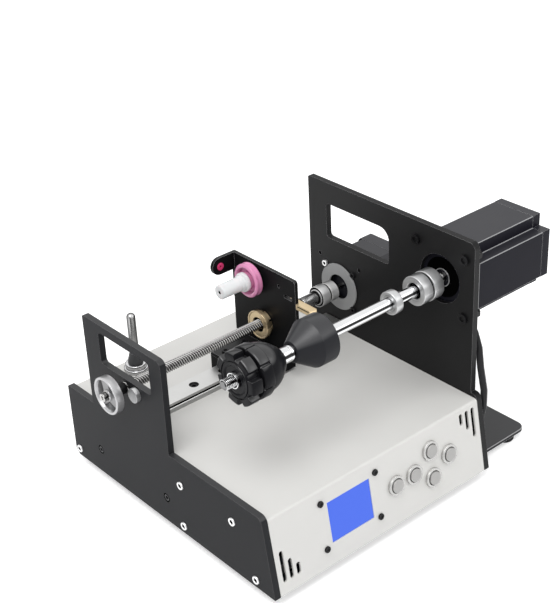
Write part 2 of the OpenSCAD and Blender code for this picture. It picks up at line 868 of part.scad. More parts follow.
module rubber_feet() {
    out_x = frame_w + outrigger_reach - foot_r - outrigger_r;
    color("#1c1c1d") machine() {
        foot(foot_inset, foot_inset, 0);
        foot(foot_inset, frame_d - foot_inset, 0);
        foot(frame_w - foot_inset - foot_r, foot_inset, 0);
        foot(frame_w - foot_inset, frame_d - foot_inset, 0);
        foot(out_x, right_front_y + foot_r + outrigger_t / 2, outrigger_t);
        foot(out_x, right_front_y + outrigger_d - foot_r - outrigger_t / 2, outrigger_t);
    }
}

// Slide rail
module slide_rail() {
    half = rail_w / 2;
    groove_z = rail_h * 0.6;
    color("#c8c9c9") machine() difference() {
        slab_x(rail_x0, rail_x0 + rail_l) translate([rail_y, deck_h])
            polygon([[-half, 0], [-half, groove_z - rail_groove], [-half + rail_groove, groove_z],
                [-half, groove_z + rail_groove], [-half, rail_h], [half, rail_h],
                [half, groove_z + rail_groove], [half - rail_groove, groove_z],
                [half, groove_z - rail_groove], [half, 0]]);
        for (x = rail_places) translate([x, rail_y, deck_h]) {
            translate([0, 0, -over]) cylinder(h = rail_h + 2 * over, r = rail_hole_r);
            translate([0, 0, rail_h - rail_sink]) cylinder(h = rail_sink + over, r = rail_sink_r);
        }
    }
}

module rail_screws() {
    seat = rail_top - rail_sink;
    color("#202122") machine() for (x = rail_places) translate([x, rail_y, seat]) difference() {
        union() {
            cylinder(h = rail_head_t, r = rail_sink_r - move_gap);
            translate([0, 0, -rail_screw_l]) cylinder(h = rail_screw_l, r = rail_hole_r - seat_gap);
        }
        translate([0, 0, rail_head_t / 2]) cylinder(h = rail_head_t, r = side_socket_r, $fn = 6);
    }
}

// Display
module display_glass() {
    color("#3f6fe0") machine() on_panel(display_x, display_up)
        translate([-display_w / 2, -display_h / 2, -glass_sink - glass_t])
            cube([display_w, display_h, glass_t]);
}

module display_board() {
    w = display_pitch_w + 2 * display_margin;
    h = display_pitch_h + 2 * display_margin;
    color("#1f6b3a") machine() difference() {
        on_panel(display_x, display_up)
            translate([-w / 2, -h / 2, -glass_sink - glass_t - display_board_t])
                cube([w, h, display_board_t]);
        four_on_panel() cylinder(h = 4 * glass_t, r = screw_shank_r + seat_gap, center = true);
    }
}

module display_screws() {
    color("#18191a") machine() four_on_panel() difference() {
        union() {
            cylinder(h = screw_head_t, r = screw_head_r);
            translate([0, 0, -display_screw_l]) cylinder(h = display_screw_l, r = screw_shank_r);
        }
        translate([0, 0, screw_head_t / 2]) cylinder(h = screw_head_t, r = screw_shank_r, $fn = 6);
    }
}

// Push buttons
module button_housings() {
    floor_z = bezel_t + cap_proud - cap_l - button_travel - end_gap;
    color("#c9cacb") machine() for (p = button_places) on_panel(p[0], p[1]) difference() {
        union() {
            cylinder(h = bezel_t, r = bezel_r);
            translate([0, 0, -housing_l]) cylinder(h = housing_l, r = housing_r);
        }
        translate([0, 0, floor_z]) cylinder(h = bezel_t + over - floor_z, r = cap_r + move_gap);
    }
}

module button_cap(i) {
    color("#d9dadb") machine() on_panel(button_places[i][0], button_places[i][1])
        translate([0, 0, bezel_t + cap_proud - cap_l]) cylinder(h = cap_l, r = cap_r);
}

module button_side() { button_cap(0); }
module button_left() { button_cap(1); }
module button_up() { button_cap(2); }
module button_down() { button_cap(3); }
module button_right() { button_cap(4); }

// Power inlet, flush with the rear panel
module power_inlet() {
    color("#1a1a1b") machine() translate([inlet_x, frame_d, inlet_h]) rotate([90, 0, 0]) difference() {
        union() {
            cylinder(h = inlet_l, r = inlet_r);
            translate([0, 0, sheet_t]) cylinder(h = inlet_nut_l, r = inlet_nut_r, $fn = 6);
        }
        translate([0, 0, -over]) cylinder(h = inlet_hole_l + over, r = inlet_hole_r);
    }
}

// Square motor outline with a notch along each corner
module notched_square(s, notch) {
    difference() {
        square([s, s], center = true);
        for (a = [0 : 90 : 270]) rotate(a) translate([s / 2 - notch, s / 2 - notch]) square([s, s]);
    }
}

// Square motor outline with cut corners
module cut_square(s, cut) {
    h = s / 2;
    polygon([[-h, cut - h], [cut - h, -h], [h - cut, -h], [h, cut - h],
        [h, h - cut], [h - cut, h], [cut - h, h], [-h, h - cut]]);
}

// Traverse motor
module traverse_caps() {
    color("#26272a") machine() at_screw() {
        difference() {
            union() {
                slab_x(frame_w, frame_w + small_front_l) cut_square(small_motor_s, small_corner / 2);
                bar_x(small_pilot_r, frame_w - small_pilot_l, frame_w);
            }
            bar_x(small_shaft_r + run_gap, frame_w - small_pilot_l - over, frame_w + small_front_l + over);
            four_corners(small_pitch)
                bar_x(small_screw_r + seat_gap, frame_w - over, frame_w + small_screw_l);
        }
        difference() {
            slab_x(small_end_x - small_rear_l, small_end_x) cut_square(small_motor_s, small_corner / 2);
            bar_x(small_shaft_r + run_gap, small_end_x - small_rear_l - over,
                small_end_x - small_rear_l / 2);
        }
    }
}

module traverse_stator() {
    color("#303134") machine() at_screw() difference() {
        slab_x(frame_w + small_front_l, small_end_x - small_rear_l) cut_square(small_motor_s, small_corner);
        bar_x(small_rotor_r + move_gap, frame_w + small_front_l - over, small_end_x - small_rear_l + over);
    }
}

module traverse_rotor() {
    color("#8f9296") machine() at_screw() {
        bar_x(small_shaft_r, small_shaft_x, small_end_x - small_rear_l / 2 - move_gap);
        bar_x(small_rotor_r, frame_w + small_front_l + end_gap, small_end_x - small_rear_l - end_gap);
    }
}

module traverse_ring() {
    color("#9a9da0") machine() at_screw() difference() {
        bar_x(ring_r, inner_right_x - ring_t, inner_right_x);
        bar_x(ring_hole_r, inner_right_x - ring_t - over, inner_right_x + over);
        four_corners(small_pitch)
            bar_x(small_head_r + move_gap, inner_right_x - ring_t - over, inner_right_x + over);
    }
}

module traverse_screws() {
    color("#d8d9da") machine() at_screw() four_corners(small_pitch) difference() {
        union() {
            bar_x(small_head_r, inner_right_x - small_head_t, inner_right_x);
            bar_x(small_screw_r, inner_right_x, frame_w + small_screw_l - end_gap);
        }
        translate([inner_right_x - small_head_t - over, 0, 0]) rotate([0, 90, 0])
            cylinder(h = small_head_t / 2 + over, r = small_screw_r, $fn = 6);
    }
}

// Spindle motor
module spindle_caps() {
    front_end_x = frame_w + big_front_l;
    rear_x = motor_end_x - big_rear_l;
    color("#1e1f21") machine() at_spindle() {
        difference() {
            union() {
                slab_x(frame_w, front_end_x) cut_square(big_motor_s, big_flange_corner);
                bar_x(big_pilot_r, frame_w - big_pilot_l, frame_w);
            }
            bar_x(big_shaft_r + run_gap, frame_w - big_pilot_l - over, front_end_x + over);
            four_corners(big_pitch) bar_x(big_screw_r + seat_gap, frame_w - over, front_end_x + over);
        }
        difference() {
            slab_x(rear_x, motor_end_x) notched_square(big_motor_s, big_notch);
            bar_x(big_shaft_r + run_gap, rear_x - over, motor_end_x - big_rear_l / 3);
        }
    }
}

module spindle_stator() {
    x0 = frame_w + big_front_l;
    x1 = motor_end_x - big_rear_l;
    color("#2a2b2e") machine() at_spindle() difference() {
        slab_x(x0, x1) notched_square(big_motor_s, big_notch);
        bar_x(big_rotor_r + move_gap, x0 - over, x1 + over);
    }
}

module spindle_rotor() {
    x0 = frame_w + big_front_l;
    x1 = motor_end_x - big_rear_l;
    color("#8f9296") machine() at_spindle() {
        bar_x(big_shaft_r, big_shaft_x, motor_end_x - big_rear_l / 3 - move_gap);
        bar_x(big_rotor_r, x0 + rotor_gap, x1 - rotor_gap);
    }
}

module spindle_motor_screws() {
    front_end_x = frame_w + big_front_l;
    color("#141415") machine() at_spindle() four_corners(big_pitch) difference() {
        union() {
            bar_x(big_head_r, inner_right_x - big_head_t, inner_right_x);
            bar_x(big_screw_r, inner_right_x, front_end_x);
            translate([front_end_x, 0, 0]) rotate([0, 90, 0])
                cylinder(h = big_nut_l, r = big_nut_r, $fn = 6);
        }
        translate([inner_right_x - big_head_t - over, 0, 0]) rotate([0, 90, 0])
            cylinder(h = big_head_t / 2 + over, r = big_screw_r, $fn = 6);
    }
}

// Direction of the cable at point i of its route
function route_direction(i) =
    let (n = len(cable_route))
    unit(i == 0 ? cable_route[1] - cable_route[0] :
        i == n - 1 ? cable_route[n - 1] - cable_route[n - 2] :
        unit(cable_route[i + 1] - cable_route[i]) + unit(cable_route[i] - cable_route[i - 1]));

// Ring of points round the cable at point i, square to its direction
function cable_ring(i) =
    let (d = route_direction(i),
         side = unit(cross([0, 1, 0], d)),
         up = cross(d, side))
    [for (k = [0 : cable_sides - 1])
        cable_route[i] + cable_r * (cos(360 * k / cable_sides) * side + sin(360 * k / cable_sides) * up)];

module motor_cable() {
    n = len(cable_route);
    m = cable_sides;
    points = [for (i = [0 : n - 1]) each cable_ring(i)];
    walls = [for (i = [0 : n - 2], k = [0 : m - 1])
        [i * m + k, i * m + (k + 1) % m, (i + 1) * m + (k + 1) % m, (i + 1) * m + k]];
    ends = [[for (k = [m - 1 : -1 : 0]) k], [for (k = [0 : m - 1]) (n - 1) * m + k]];
    color("#17181a") machine() polyhedron(points = points, faces = concat(walls, ends));
}

// Left end of the lead screw
module screw_bearing() {
    color("#b4b7ba") machine() at_screw() difference() {
        union() {
            bar_x(bearing_r, 0, plate_t);
            bar_x(bearing_flange_r, plate_t, plate_t + bearing_flange_t);
        }
        bar_x(screw_r + run_gap, -over, plate_t + bearing_flange_t + over);
    }
}

module plate_stud() {
    color("#c4c6c8") machine() translate([0, stud_y, screw_h]) {
        bar_x(stud_r, -stud_l, 0);
        bar_x(stud_shank_r, 0, plate_t);
        translate([plate_t, 0, 0]) rotate([0, 90, 0]) cylinder(h = stud_nut_l, r = stud_nut_r, $fn = 6);
    }
}

module handwheel() {
    rim_x = -wheel_gap - wheel_t;
    color("#b7babd") machine() at_screw() difference() {
        union() {
            difference() {
                bar_x(wheel_r, rim_x, -wheel_gap);
                bar_x(wheel_r - wheel_rim_w, rim_x - over, -wheel_gap + over);
            }
            bar_x(hub_r, rim_x, -end_gap);
            for (i = [0 : spoke_count - 1]) rotate([i * 360 / spoke_count + spoke_turn, 0, 0])
                translate([rim_x + wheel_t / 3, -spoke_w / 2, 0])
                    cube([wheel_t / 2, spoke_w, wheel_r - wheel_rim_w / 2]);
        }
        bar_x(screw_r + seat_gap, rim_x - over, over);
    }
}

module handwheel_screw() {
    color("#e4e5e6") machine() at_screw() difference() {
        union() {
            bar_x(handle_head_r, screw_left_x - handle_head_t, screw_left_x);
            bar_x(handle_screw_r - seat_gap, screw_left_x, screw_left_x + handle_screw_l - end_gap);
        }
        translate([screw_left_x - handle_head_t - over, 0, 0]) rotate([0, 90, 0])
            cylinder(h = handle_head_t / 2 + over, r = handle_screw_r, $fn = 6);
    }
}

module lead_screw() {
    color("#9ea1a4") machine() at_screw() difference() {
        bar_x(screw_r, screw_left_x, screw_right_x);
        bar_x(handle_screw_r, screw_left_x - over, screw_left_x + handle_screw_l);
    }
}

module screw_coupler() {
    split_x = screw_coupler_x + screw_coupler_l * screw_coupler_split_share;
    end_x = screw_coupler_x + screw_coupler_l;
    color("#b3b6b9") machine() at_screw() difference() {
        union() {
            bar_x(screw_nose_r, screw_coupler_x - screw_nose_l, screw_coupler_x);
            bar_x(screw_coupler_r, screw_coupler_x, split_x);
            bar_x(screw_coupler_neck_r, split_x, split_x + neck_l);
            bar_x(screw_coupler_small_r, split_x + neck_l, end_x);
        }
        bar_x(screw_r + seat_gap, screw_coupler_x - screw_nose_l - over, split_x);
        bar_x(small_shaft_r + seat_gap, split_x - over, end_x + over);
    }
}

// Spindle
module spindle_rod() {
    color("#cfd1d3") machine() at_spindle() {
        bar_x(rod_tip_r, rod_left_x, rod_left_x + rod_tip_l);
        bar_x(rod_thread_r, rod_left_x + rod_tip_l, thread_end_x);
        bar_x(rod_r, thread_end_x, rod_right_x);
    }
}

module spindle_sleeve() {
    color("#d4d6d8") machine() at_spindle() difference() {
        bar_x(sleeve_r, sleeve_x, sleeve_x + sleeve_l);
        bar_x(rod_r + seat_gap, sleeve_x - over, sleeve_x + sleeve_l + over);
    }
}

module drive_cone() {
    rim_x = drive_x + drive_taper_l;
    color("#262729") machine() at_spindle() difference() {
        lathe_x() polygon([[0, drive_x], [drive_tip_r, drive_x], [drive_r, rim_x],
            [drive_r, drive_end_x - chamfer], [drive_r - chamfer, drive_end_x], [0, drive_end_x]]);
        bar_x(rod_r + seat_gap, drive_x - over, drive_end_x + over);
    }
}

module stop_collar() {
    color("#c6c8ca") machine() at_spindle() difference() {
        bar_x(collar_r, collar_x, collar_x + collar_l);
        bar_x(rod_r + seat_gap, collar_x - over, collar_x + collar_l + over);
    }
}

module spindle_coupler() {
    split_x = coupler_x + coupler_l * coupler_split_share;
    end_x = coupler_x + coupler_l;
    color("#bfc1c4") machine() at_spindle() difference() {
        union() {
            bar_x(coupler_r, coupler_x, split_x);
            bar_x(coupler_r - coupler_groove_depth, split_x, split_x + coupler_groove);
            bar_x(coupler_r, split_x + coupler_groove, end_x);
        }
        bar_x(rod_r + seat_gap, coupler_x - over, split_x);
        bar_x(big_shaft_r + seat_gap, split_x - over, end_x + over);
    }
}

// Point at radius r and angle a
function polar(r, a) = r * [cos(a), sin(a)];

// Outline of a lobed ring: turn, lobes of half angles top and foot, their depth and roundness
module lobed_outline(turn, top_share, foot_share, depth, round_r) {
    step = 360 / lobe_count;
    top = top_share * step;
    foot = foot_share * step;
    rotate(turn) polygon(rounded(
        [for (i = [0 : lobe_count - 1]) each [polar(lobe_r - depth, i * step - foot),
            polar(lobe_r, i * step - top), polar(lobe_r, i * step), polar(lobe_r, i * step + top),
            polar(lobe_r - depth, i * step + foot)]],
        [for (i = [0 : lobe_count - 1]) each [valley_r / 2, round_r, 0, round_r, valley_r / 2]]));
}

module lock_nut() {
    color("#1f2022") machine() at_spindle() difference() {
        slab_x(lock_nut_x, lock_ring_end)
            lobed_outline(lobe_turn, grip_top_share, grip_foot_share, grip_depth, grip_round_r);
        bar_x(insert_r + seat_gap, lock_nut_x - over, lock_ring_end + over);
    }
}

module nut_insert() {
    color("#d6d8da") machine() at_spindle() difference() {
        union() {
            bar_x(insert_r, lock_nut_x, lock_ring_end);
            bar_x(insert_lip_r, lock_nut_x - insert_lip, lock_nut_x);
        }
        bar_x(rod_thread_r + run_gap, lock_nut_x - insert_lip - over, lock_ring_end + over);
    }
}

// Radius of the nose at share t of its length
function nose_radius(t) = nose_r + (nose_base_r - nose_r) * (1 - t) + nose_swell * sin(180 * t);

module clamp_cone() {
    color("#232426") machine() at_spindle() difference() {
        union() {
            bar_x(neck_r, lock_ring_end + move_gap, clamp_x);
            slab_x(clamp_x, nose_x)
                lobed_outline(block_turn, block_top_share, block_foot_share, block_depth, block_round_r);
            lathe_x() polygon(concat([[0, nose_x]],
                [for (i = [0 : nose_steps]) [nose_radius(i / nose_steps), nose_x + nose_l * i / nose_steps]],
                [[0, nose_end_x]]));
        }
        bar_x(rod_r + run_gap, lock_ring_end, nose_end_x + over);
    }
}

// Carriage
module carriage_block() {
    slot = rail_w + 2 * move_gap;
    color("#222326") machine() difference() {
        translate([carriage_x, block_y0, block_z]) cube([block_l, block_w, block_h]);
        translate([carriage_x - over, rail_y - slot / 2, block_z - over])
            cube([block_l + 2 * over, slot, rail_top - block_z + move_gap + over]);
        for (p = bracket_places) translate([p[0], p[1], block_top - bracket_screw_l])
            cylinder(h = bracket_screw_l + over, r = bracket_screw_r + seat_gap);
    }
}

module carriage_bracket() {
    foot_top = block_top + bracket_t;
    color("#26272a") machine() difference() {
        union() {
            translate([0, block_y0 + block_w, 0]) rotate([90, 0, 0]) linear_extrude(height = block_w)
                polygon(rounded(
                    [[carriage_x, block_top], [upright_far_x, block_top], [upright_far_x, upright_h - tab_h],
                        [upright_x, upright_h - tab_h], [upright_x, foot_top], [carriage_x, foot_top]],
                    [0, bend_r, 0, 0, 0, 0]));
            slab_x(upright_x, upright_far_x) polygon(rounded(
                [[upright_y0, block_top + bend_r], [upright_rear_y, block_top + bend_r],
                    [upright_rear_y, upright_h], [upright_y0, upright_h]],
                [0, 0, 0, upright_corner_r]));
            translate([0, upright_rear_y, 0]) rotate([90, 0, 0]) linear_extrude(height = bracket_t)
                polygon(rounded(
                    [[tab_x, tab_z], [upright_far_x, tab_z], [upright_far_x, upright_h], [tab_x, upright_h]],
                    [tab_h * 0.49, 0, 0, tab_h * 0.49]));
        }
        at_screw() bar_x(nut_barrel_r + seat_gap, upright_x - over, upright_far_x + over);
        translate([0, guide_y, guide_h]) bar_x(axle_r + seat_gap, upright_x - over, upright_far_x + over);
        translate([eyelet_x, tab_y - over, eyelet_z]) rotate([-90, 0, 0])
            cylinder(h = bracket_t + 2 * over, r = eyelet_r - eyelet_lip + seat_gap);
        for (p = bracket_places) translate([p[0], p[1], block_top - over])
            cylinder(h = bracket_t + 2 * over, r = bracket_screw_r + seat_gap);
        translate([0, upright_y0 + hole_side, guide_h + hole_rise])
            bar_x(slot_r, upright_x - over, upright_far_x + over);
        translate([0, upright_y0 + slot_side, guide_h - slot_drop]) {
            bar_x(slot_r, upright_x - over, upright_far_x + over);
            translate([0, slot_l, 0]) bar_x(slot_r, upright_x - over, upright_far_x + over);
            translate([upright_x - over, 0, -slot_r]) cube([bracket_t + 2 * over, slot_l, 2 * slot_r]);
        }
    }
}

module bracket_screws() {
    color("#8d9093") machine() for (p = bracket_places)
        translate([p[0], p[1], block_top + bracket_t]) difference() {
            union() {
                cylinder(h = bracket_head_t, r = bracket_head_r);
                translate([0, 0, end_gap - bracket_t - bracket_screw_l])
                    cylinder(h = bracket_t + bracket_screw_l - end_gap, r = bracket_screw_r);
            }
            translate([0, 0, bracket_head_t / 2]) cylinder(h = bracket_head_t, r = bracket_screw_r, $fn = 6);
        }
}

// Lead nut and the notched ring behind its flange
module lead_nut() {
    flange_end = nut_x + nut_flange_t;
    color("#c8a35a") machine() at_screw() {
        difference() {
            union() {
                bar_x(nut_flange_r, nut_x, flange_end);
                bar_x(nut_barrel_r, flange_end, flange_end + nut_barrel_l);
            }
            bar_x(screw_r + run_gap, nut_x - over, flange_end + nut_barrel_l + over);
        }
        difference() {
            bar_x(nut_ring_r, flange_end, upright_x);
            bar_x(nut_barrel_r + seat_gap, flange_end - over, upright_x + over);
            for (i = [0 : nut_ring_notches - 1]) rotate([i * 360 / nut_ring_notches, 0, 0])
                translate([flange_end - over, -nut_ring_notch / 2, nut_ring_r - nut_ring_notch / 2])
                    cube([nut_flange_t + 2 * over, nut_ring_notch, nut_ring_notch]);
        }
    }
}

// Wire guide
module wire_eyelet() {
    color("#e0457a") machine() translate([eyelet_x, tab_y - eyelet_lip, eyelet_z]) rotate([-90, 0, 0])
    difference() {
        union() {
            cylinder(h = eyelet_lip, r = eyelet_r);
            cylinder(h = eyelet_lip + bracket_t + eyelet_lip, r = eyelet_r - eyelet_lip);
        }
        translate([0, 0, -over]) cylinder(h = bracket_t + 4 * over, r = eyelet_hole_r);
    }
}

module wire_finger() {
    y0 = upright_y0 - finger_reach;
    l = finger_reach + finger_seat_l;
    step_y = finger_reach - sheet_gap;
    near_x = -bracket_t;
    tip_x = near_x + finger_w;
    color("#d2ad62") machine() translate([upright_far_x, y0, finger_z]) difference() {
        linear_extrude(height = finger_t) polygon(rounded(
            [[near_x, finger_w / 4], [tip_x, 0], [tip_x, l], [0, l], [0, step_y], [near_x, step_y]],
            [finger_w / 8, finger_w / 6, 0, 0, 0, 0]));
        translate([near_x - over, finger_reach * slit_start_share, finger_t - slit_drop - slit_w])
            cube([slit_depth + over, finger_reach * slit_length_share, slit_w]);
    }
}

module wheel_axle() {
    nut_x0 = upright_far_x;
    color("#b9bcbf") machine() translate([0, guide_y, guide_h]) {
        bar_x(axle_r, knob_x + knob_hole_l + end_gap, nut_x0 + end_gap);
        bar_x(washer_r, upright_x - washer_l + move_gap, upright_x);
        translate([nut_x0, 0, 0]) rotate([0, 90, 0]) cylinder(h = axle_nut_l, r = axle_nut_r, $fn = 6);
    }
}

module wheel_knob() {
    end_x = knob_x + knob_l;
    color("#eceded") machine() translate([0, guide_y, guide_h]) difference() {
        union() {
            bar_x(knob_r, knob_x, end_x - knob_flange_l);
            bar_x(knob_flange_r, end_x - knob_flange_l, end_x);
        }
        bar_x(knob_hole_r, knob_x - over, end_x);
        bar_x(axle_r + seat_gap, knob_x + knob_hole_l, end_x + over);
    }
}

module guide_wheel() {
    far_x = guide_x + guide_w;
    mid = guide_x + guide_w / 2;
    wall = guide_w / 6;
    color("#e58fb8") machine() translate([0, guide_y, guide_h]) difference() {
        lathe_x() polygon([[0, guide_x], [guide_r, guide_x], [guide_r, guide_x + wall],
            [guide_r - guide_groove, mid - wall / 2], [guide_r - guide_groove, mid + wall / 2],
            [guide_r, far_x - wall], [guide_r, far_x], [0, far_x]]);
        bar_x(axle_r + run_gap, guide_x - over, far_x + over);
    }
}

// Wire post at the back of the deck
module wire_post() {
    color("#c9cbcd") machine() translate([post_x, post_y, deck_h]) {
        translate([0, 0, -post_tail]) cylinder(h = post_tail + post_h - post_r, r = post_r);
        translate([0, 0, post_h - post_r]) sphere(r = post_r);
    }
}

module post_seat() {
    color("#b7babd") machine() translate([post_x, post_y, deck_h]) {
        difference() {
            cylinder(h = seat_ring_h, r = seat_r);
            translate([0, 0, -over]) cylinder(h = seat_ring_h + 2 * over, r = post_r + seat_gap);
        }
        translate([0, 0, seat_ring_h]) difference() {
            cylinder(h = seat_ring_h, r = seat_small_r);
            translate([0, 0, -over]) cylinder(h = seat_ring_h + 2 * over, r = post_r + seat_gap);
        }
    }
}

module post_cone() {
    color("#3d3f42") machine() translate([post_x, post_y, deck_h + 2 * seat_ring_h]) difference() {
        cylinder(h = post_cone_h, r1 = post_cone_r, r2 = post_r + chamfer);
        translate([0, 0, -over]) cylinder(h = post_cone_h + 2 * over, r = post_r + seat_gap);
    }
}

left_plate();
right_plate();
deck_cover();
rear_panel();
base_pan();
tie_bars();
side_screws();
board_screws();
outrigger_plate();
rubber_feet();
slide_rail();
rail_screws();
display_glass();
display_board();
display_screws();
button_housings();
driver_board();
board_standoffs();
power_inlet();
traverse_caps();
traverse_stator();
traverse_ring();
traverse_screws();
spindle_caps();
spindle_stator();
spindle_motor_screws();
motor_cable();
screw_bearing();
plate_stud();
wire_post();
post_seat();
post_cone();
lead_screw();
handwheel();
handwheel_screw();
screw_coupler();
traverse_rotor();
spindle_rod();
spindle_sleeve();
drive_cone();
stop_collar();
spindle_coupler();
spindle_rotor();
clamp_cone();
lock_nut();
nut_insert();
carriage_block();
carriage_bracket();
bracket_screws();
lead_nut();
wire_eyelet();
wire_finger();
wheel_axle();
wheel_knob();
guide_wheel();
button_side();
button_left();
button_up();
button_down();
button_right();
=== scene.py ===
# Looks of the wire coil winding machine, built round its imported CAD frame.
# The frame is in metres, with X along the spindle, Y to the back and Z up. Turned
# profiles, threads and names that end in _mm or _MM are in millimetres, and MM turns
# them into metres.
import math

import bmesh
import bpy
from mathutils import Matrix, Vector


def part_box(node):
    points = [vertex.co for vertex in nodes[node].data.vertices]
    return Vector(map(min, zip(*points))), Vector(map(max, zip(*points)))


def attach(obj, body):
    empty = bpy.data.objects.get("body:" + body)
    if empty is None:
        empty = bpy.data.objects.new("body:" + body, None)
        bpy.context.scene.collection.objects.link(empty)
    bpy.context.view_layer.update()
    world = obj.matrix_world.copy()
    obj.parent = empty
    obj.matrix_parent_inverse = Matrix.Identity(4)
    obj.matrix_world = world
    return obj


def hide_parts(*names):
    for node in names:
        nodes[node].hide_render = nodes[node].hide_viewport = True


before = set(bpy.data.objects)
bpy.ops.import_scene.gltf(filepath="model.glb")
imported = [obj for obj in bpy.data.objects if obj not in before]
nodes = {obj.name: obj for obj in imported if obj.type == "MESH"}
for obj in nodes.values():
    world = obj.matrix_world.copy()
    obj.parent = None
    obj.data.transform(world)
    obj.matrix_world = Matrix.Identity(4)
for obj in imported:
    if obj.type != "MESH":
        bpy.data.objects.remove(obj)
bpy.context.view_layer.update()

# Units, the machine's own corner and the axis that everything turns along
MM = 0.001
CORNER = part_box("left_plate")[0]
TAU = 2 * math.pi
ALONG_X = (1, 0, 0)


def at(x_mm, y_mm, z_mm):
    """A place in the machine, in millimetres from its corner, as a point of the frame."""
    return CORNER + Vector((x_mm, y_mm, z_mm)) * MM


def centre(node):
    """Middle of a CAD node's box."""
    low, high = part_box(node)
    return (low + high) / 2


def span(node):
    """Where a CAD node starts and ends along X, in millimetres from the machine's corner."""
    low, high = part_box(node)
    return (low.x - CORNER.x) / MM, (high.x - CORNER.x) / MM


def on_axis(node, x_mm):
    """A point at x_mm on the X axis through the middle of a CAD node."""
    middle = centre(node)
    return Vector((CORNER.x + x_mm * MM, middle.y, middle.z))


def left_face(node):
    """Middle of a CAD node's left face."""
    return on_axis(node, span(node)[0])


# Widths of broken edges, in millimetres
EDGE_MM = 0.35
BRIGHT_EDGE_MM = 0.5
SHADE_EDGE_MM = 0.02

# Fineness of the meshes
ROUND_STEPS = 3
EDGE_STEPS = 2
LATHE_SIDES = 72
SCREW_SIDES = 40
GRIP_SIDES = 336
THREAD_SIDES = 36
THREAD_STEPS = 8
SAME_POINT = 1e-7
WELD_GAP = 0.000001
FLAT_LIMIT = math.radians(0.4)
SMOOTH_LIMIT = math.radians(38)
CREASE_LIMIT = math.radians(40)

# Where a turned ring's profile ends, and the bore that closes it, on the spindle's
# plain rod and on a thread
ROD_SEAT_MM = 4.6
ROD_BORE_MM = 4.55
THREAD_SEAT_MM = 4.1
THREAD_BORE_MM = 4.05

# Threads: crest radius, depth and lead in millimetres, and the number of starts
LEAD_THREAD = (3.98, 0.85, 8.0, 4)
ROD_THREAD = (3.95, 0.55, 1.25, 1)


# Materials

def new_material(name):
    """A new node material, its node tree and its Principled shader."""
    material = bpy.data.materials.new(name)
    material.use_nodes = True
    tree = material.node_tree
    return material, tree, tree.nodes["Principled BSDF"]


def object_coords(tree, scale=(1, 1, 1)):
    """Object coordinates, which are the frame's own, scaled."""
    coords = tree.nodes.new("ShaderNodeTexCoord")
    mapping = tree.nodes.new("ShaderNodeMapping")
    mapping.inputs["Scale"].default_value = scale
    tree.links.new(coords.outputs["Object"], mapping.inputs["Vector"])
    return mapping.outputs["Vector"]


def noise(tree, vector, scale, detail):
    """Cloudy noise from 0 to 1."""
    node = tree.nodes.new("ShaderNodeTexNoise")
    node.inputs["Scale"].default_value = scale
    node.inputs["Detail"].default_value = detail
    tree.links.new(vector, node.inputs["Vector"])
    return node.outputs["Fac"]


def bands(tree, vector, period_mm, distortion=0.0):
    """Even bands across X, one every period_mm."""
    wave = tree.nodes.new("ShaderNodeTexWave")
    wave.bands_direction = "X"
    wave.inputs["Scale"].default_value = 1 / (period_mm * MM) / TAU
    wave.inputs["Distortion"].default_value = distortion
    tree.links.new(vector, wave.inputs["Vector"])
    return wave.outputs["Fac"]


def remap(tree, value, low, high, start=0, end=1):
    """value from start..end to low..high."""
    node = tree.nodes.new("ShaderNodeMapRange")
    node.inputs["From Min"].default_value = start
    node.inputs["From Max"].default_value = end
    node.inputs["To Min"].default_value = low
    node.inputs["To Max"].default_value = high
    tree.links.new(value, node.inputs["Value"])
    return node.outputs["Result"]


def two_tone(tree, value, dark, light):
    """A colour between dark and light by value."""
    node = tree.nodes.new("ShaderNodeMix")
    node.data_type = "RGBA"
    node.inputs["A"].default_value = (*dark, 1)
    node.inputs["B"].default_value = (*light, 1)
    tree.links.new(value, node.inputs["Factor"])
    return node.outputs["Result"]


def multiplied(tree, first, second):
    """The product of two colours."""
    node = tree.nodes.new("ShaderNodeMix")
    node.data_type = "RGBA"
    node.blend_type = "MULTIPLY"
    node.inputs["Factor"].default_value = 1
    tree.links.new(first, node.inputs["A"])
    tree.links.new(second, node.inputs["B"])
    return node.outputs["Result"]


def add_bump(tree, shader, height, distance, strength=1.0):
    """Raises the shaded surface by height, up to distance in metres."""
    node = tree.nodes.new("ShaderNodeBump")
    node.inputs["Distance"].default_value = distance
    node.inputs["Strength"].default_value = strength
    tree.links.new(height, node.inputs["Height"])
    tree.links.new(node.outputs["Normal"], shader.inputs["Normal"])


def upward_share(tree, direction):
    """0 for a direction straight down to 1 for one straight up."""
    split = tree.nodes.new("ShaderNodeSeparateXYZ")
    tree.links.new(direction, split.inputs["Vector"])
    return remap(tree, split.outputs["Z"], 0, 1, start=-1)


# Where, in the painted reflection, the mirrored floor ends, the dark starts and ends, and the soft
# light starts
PAINTED_REFLECTION_STOPS = (0.27, 0.34, 0.62, 0.76)


def painted_reflection(tree, below, level, above):
    """A painted reflection of a studio: the pale floor below a piece, darkness near the
    level, and the soft light above, as three greys by the height of the mirrored ray."""
    coords = tree.nodes.new("ShaderNodeTexCoord")
    ramp = tree.nodes.new("ShaderNodeValToRGB")
    stops = ramp.color_ramp.elements
    stops[0].position, stops[1].position = PAINTED_REFLECTION_STOPS[:2]
    for place in PAINTED_REFLECTION_STOPS[2:]:
        stops.new(place)
    for stop, grey in zip(stops, (below, level, level, above)):
        stop.color = (grey, grey, grey, 1)
    tree.links.new(upward_share(tree, coords.outputs["Reflection"]), ramp.inputs["Fac"])
    return ramp.outputs["Color"]


def painted_rim_shade(tree, rim, start, end):
    """Painted shade at the edges: 1 where a surface faces the eye, falling to rim from start
    to end as it turns away.
    """
    weight = tree.nodes.new("ShaderNodeLayerWeight")
    weight.inputs["Blend"].default_value = 0.5
    return remap(tree, weight.outputs["Facing"], 1, rim, start, end)


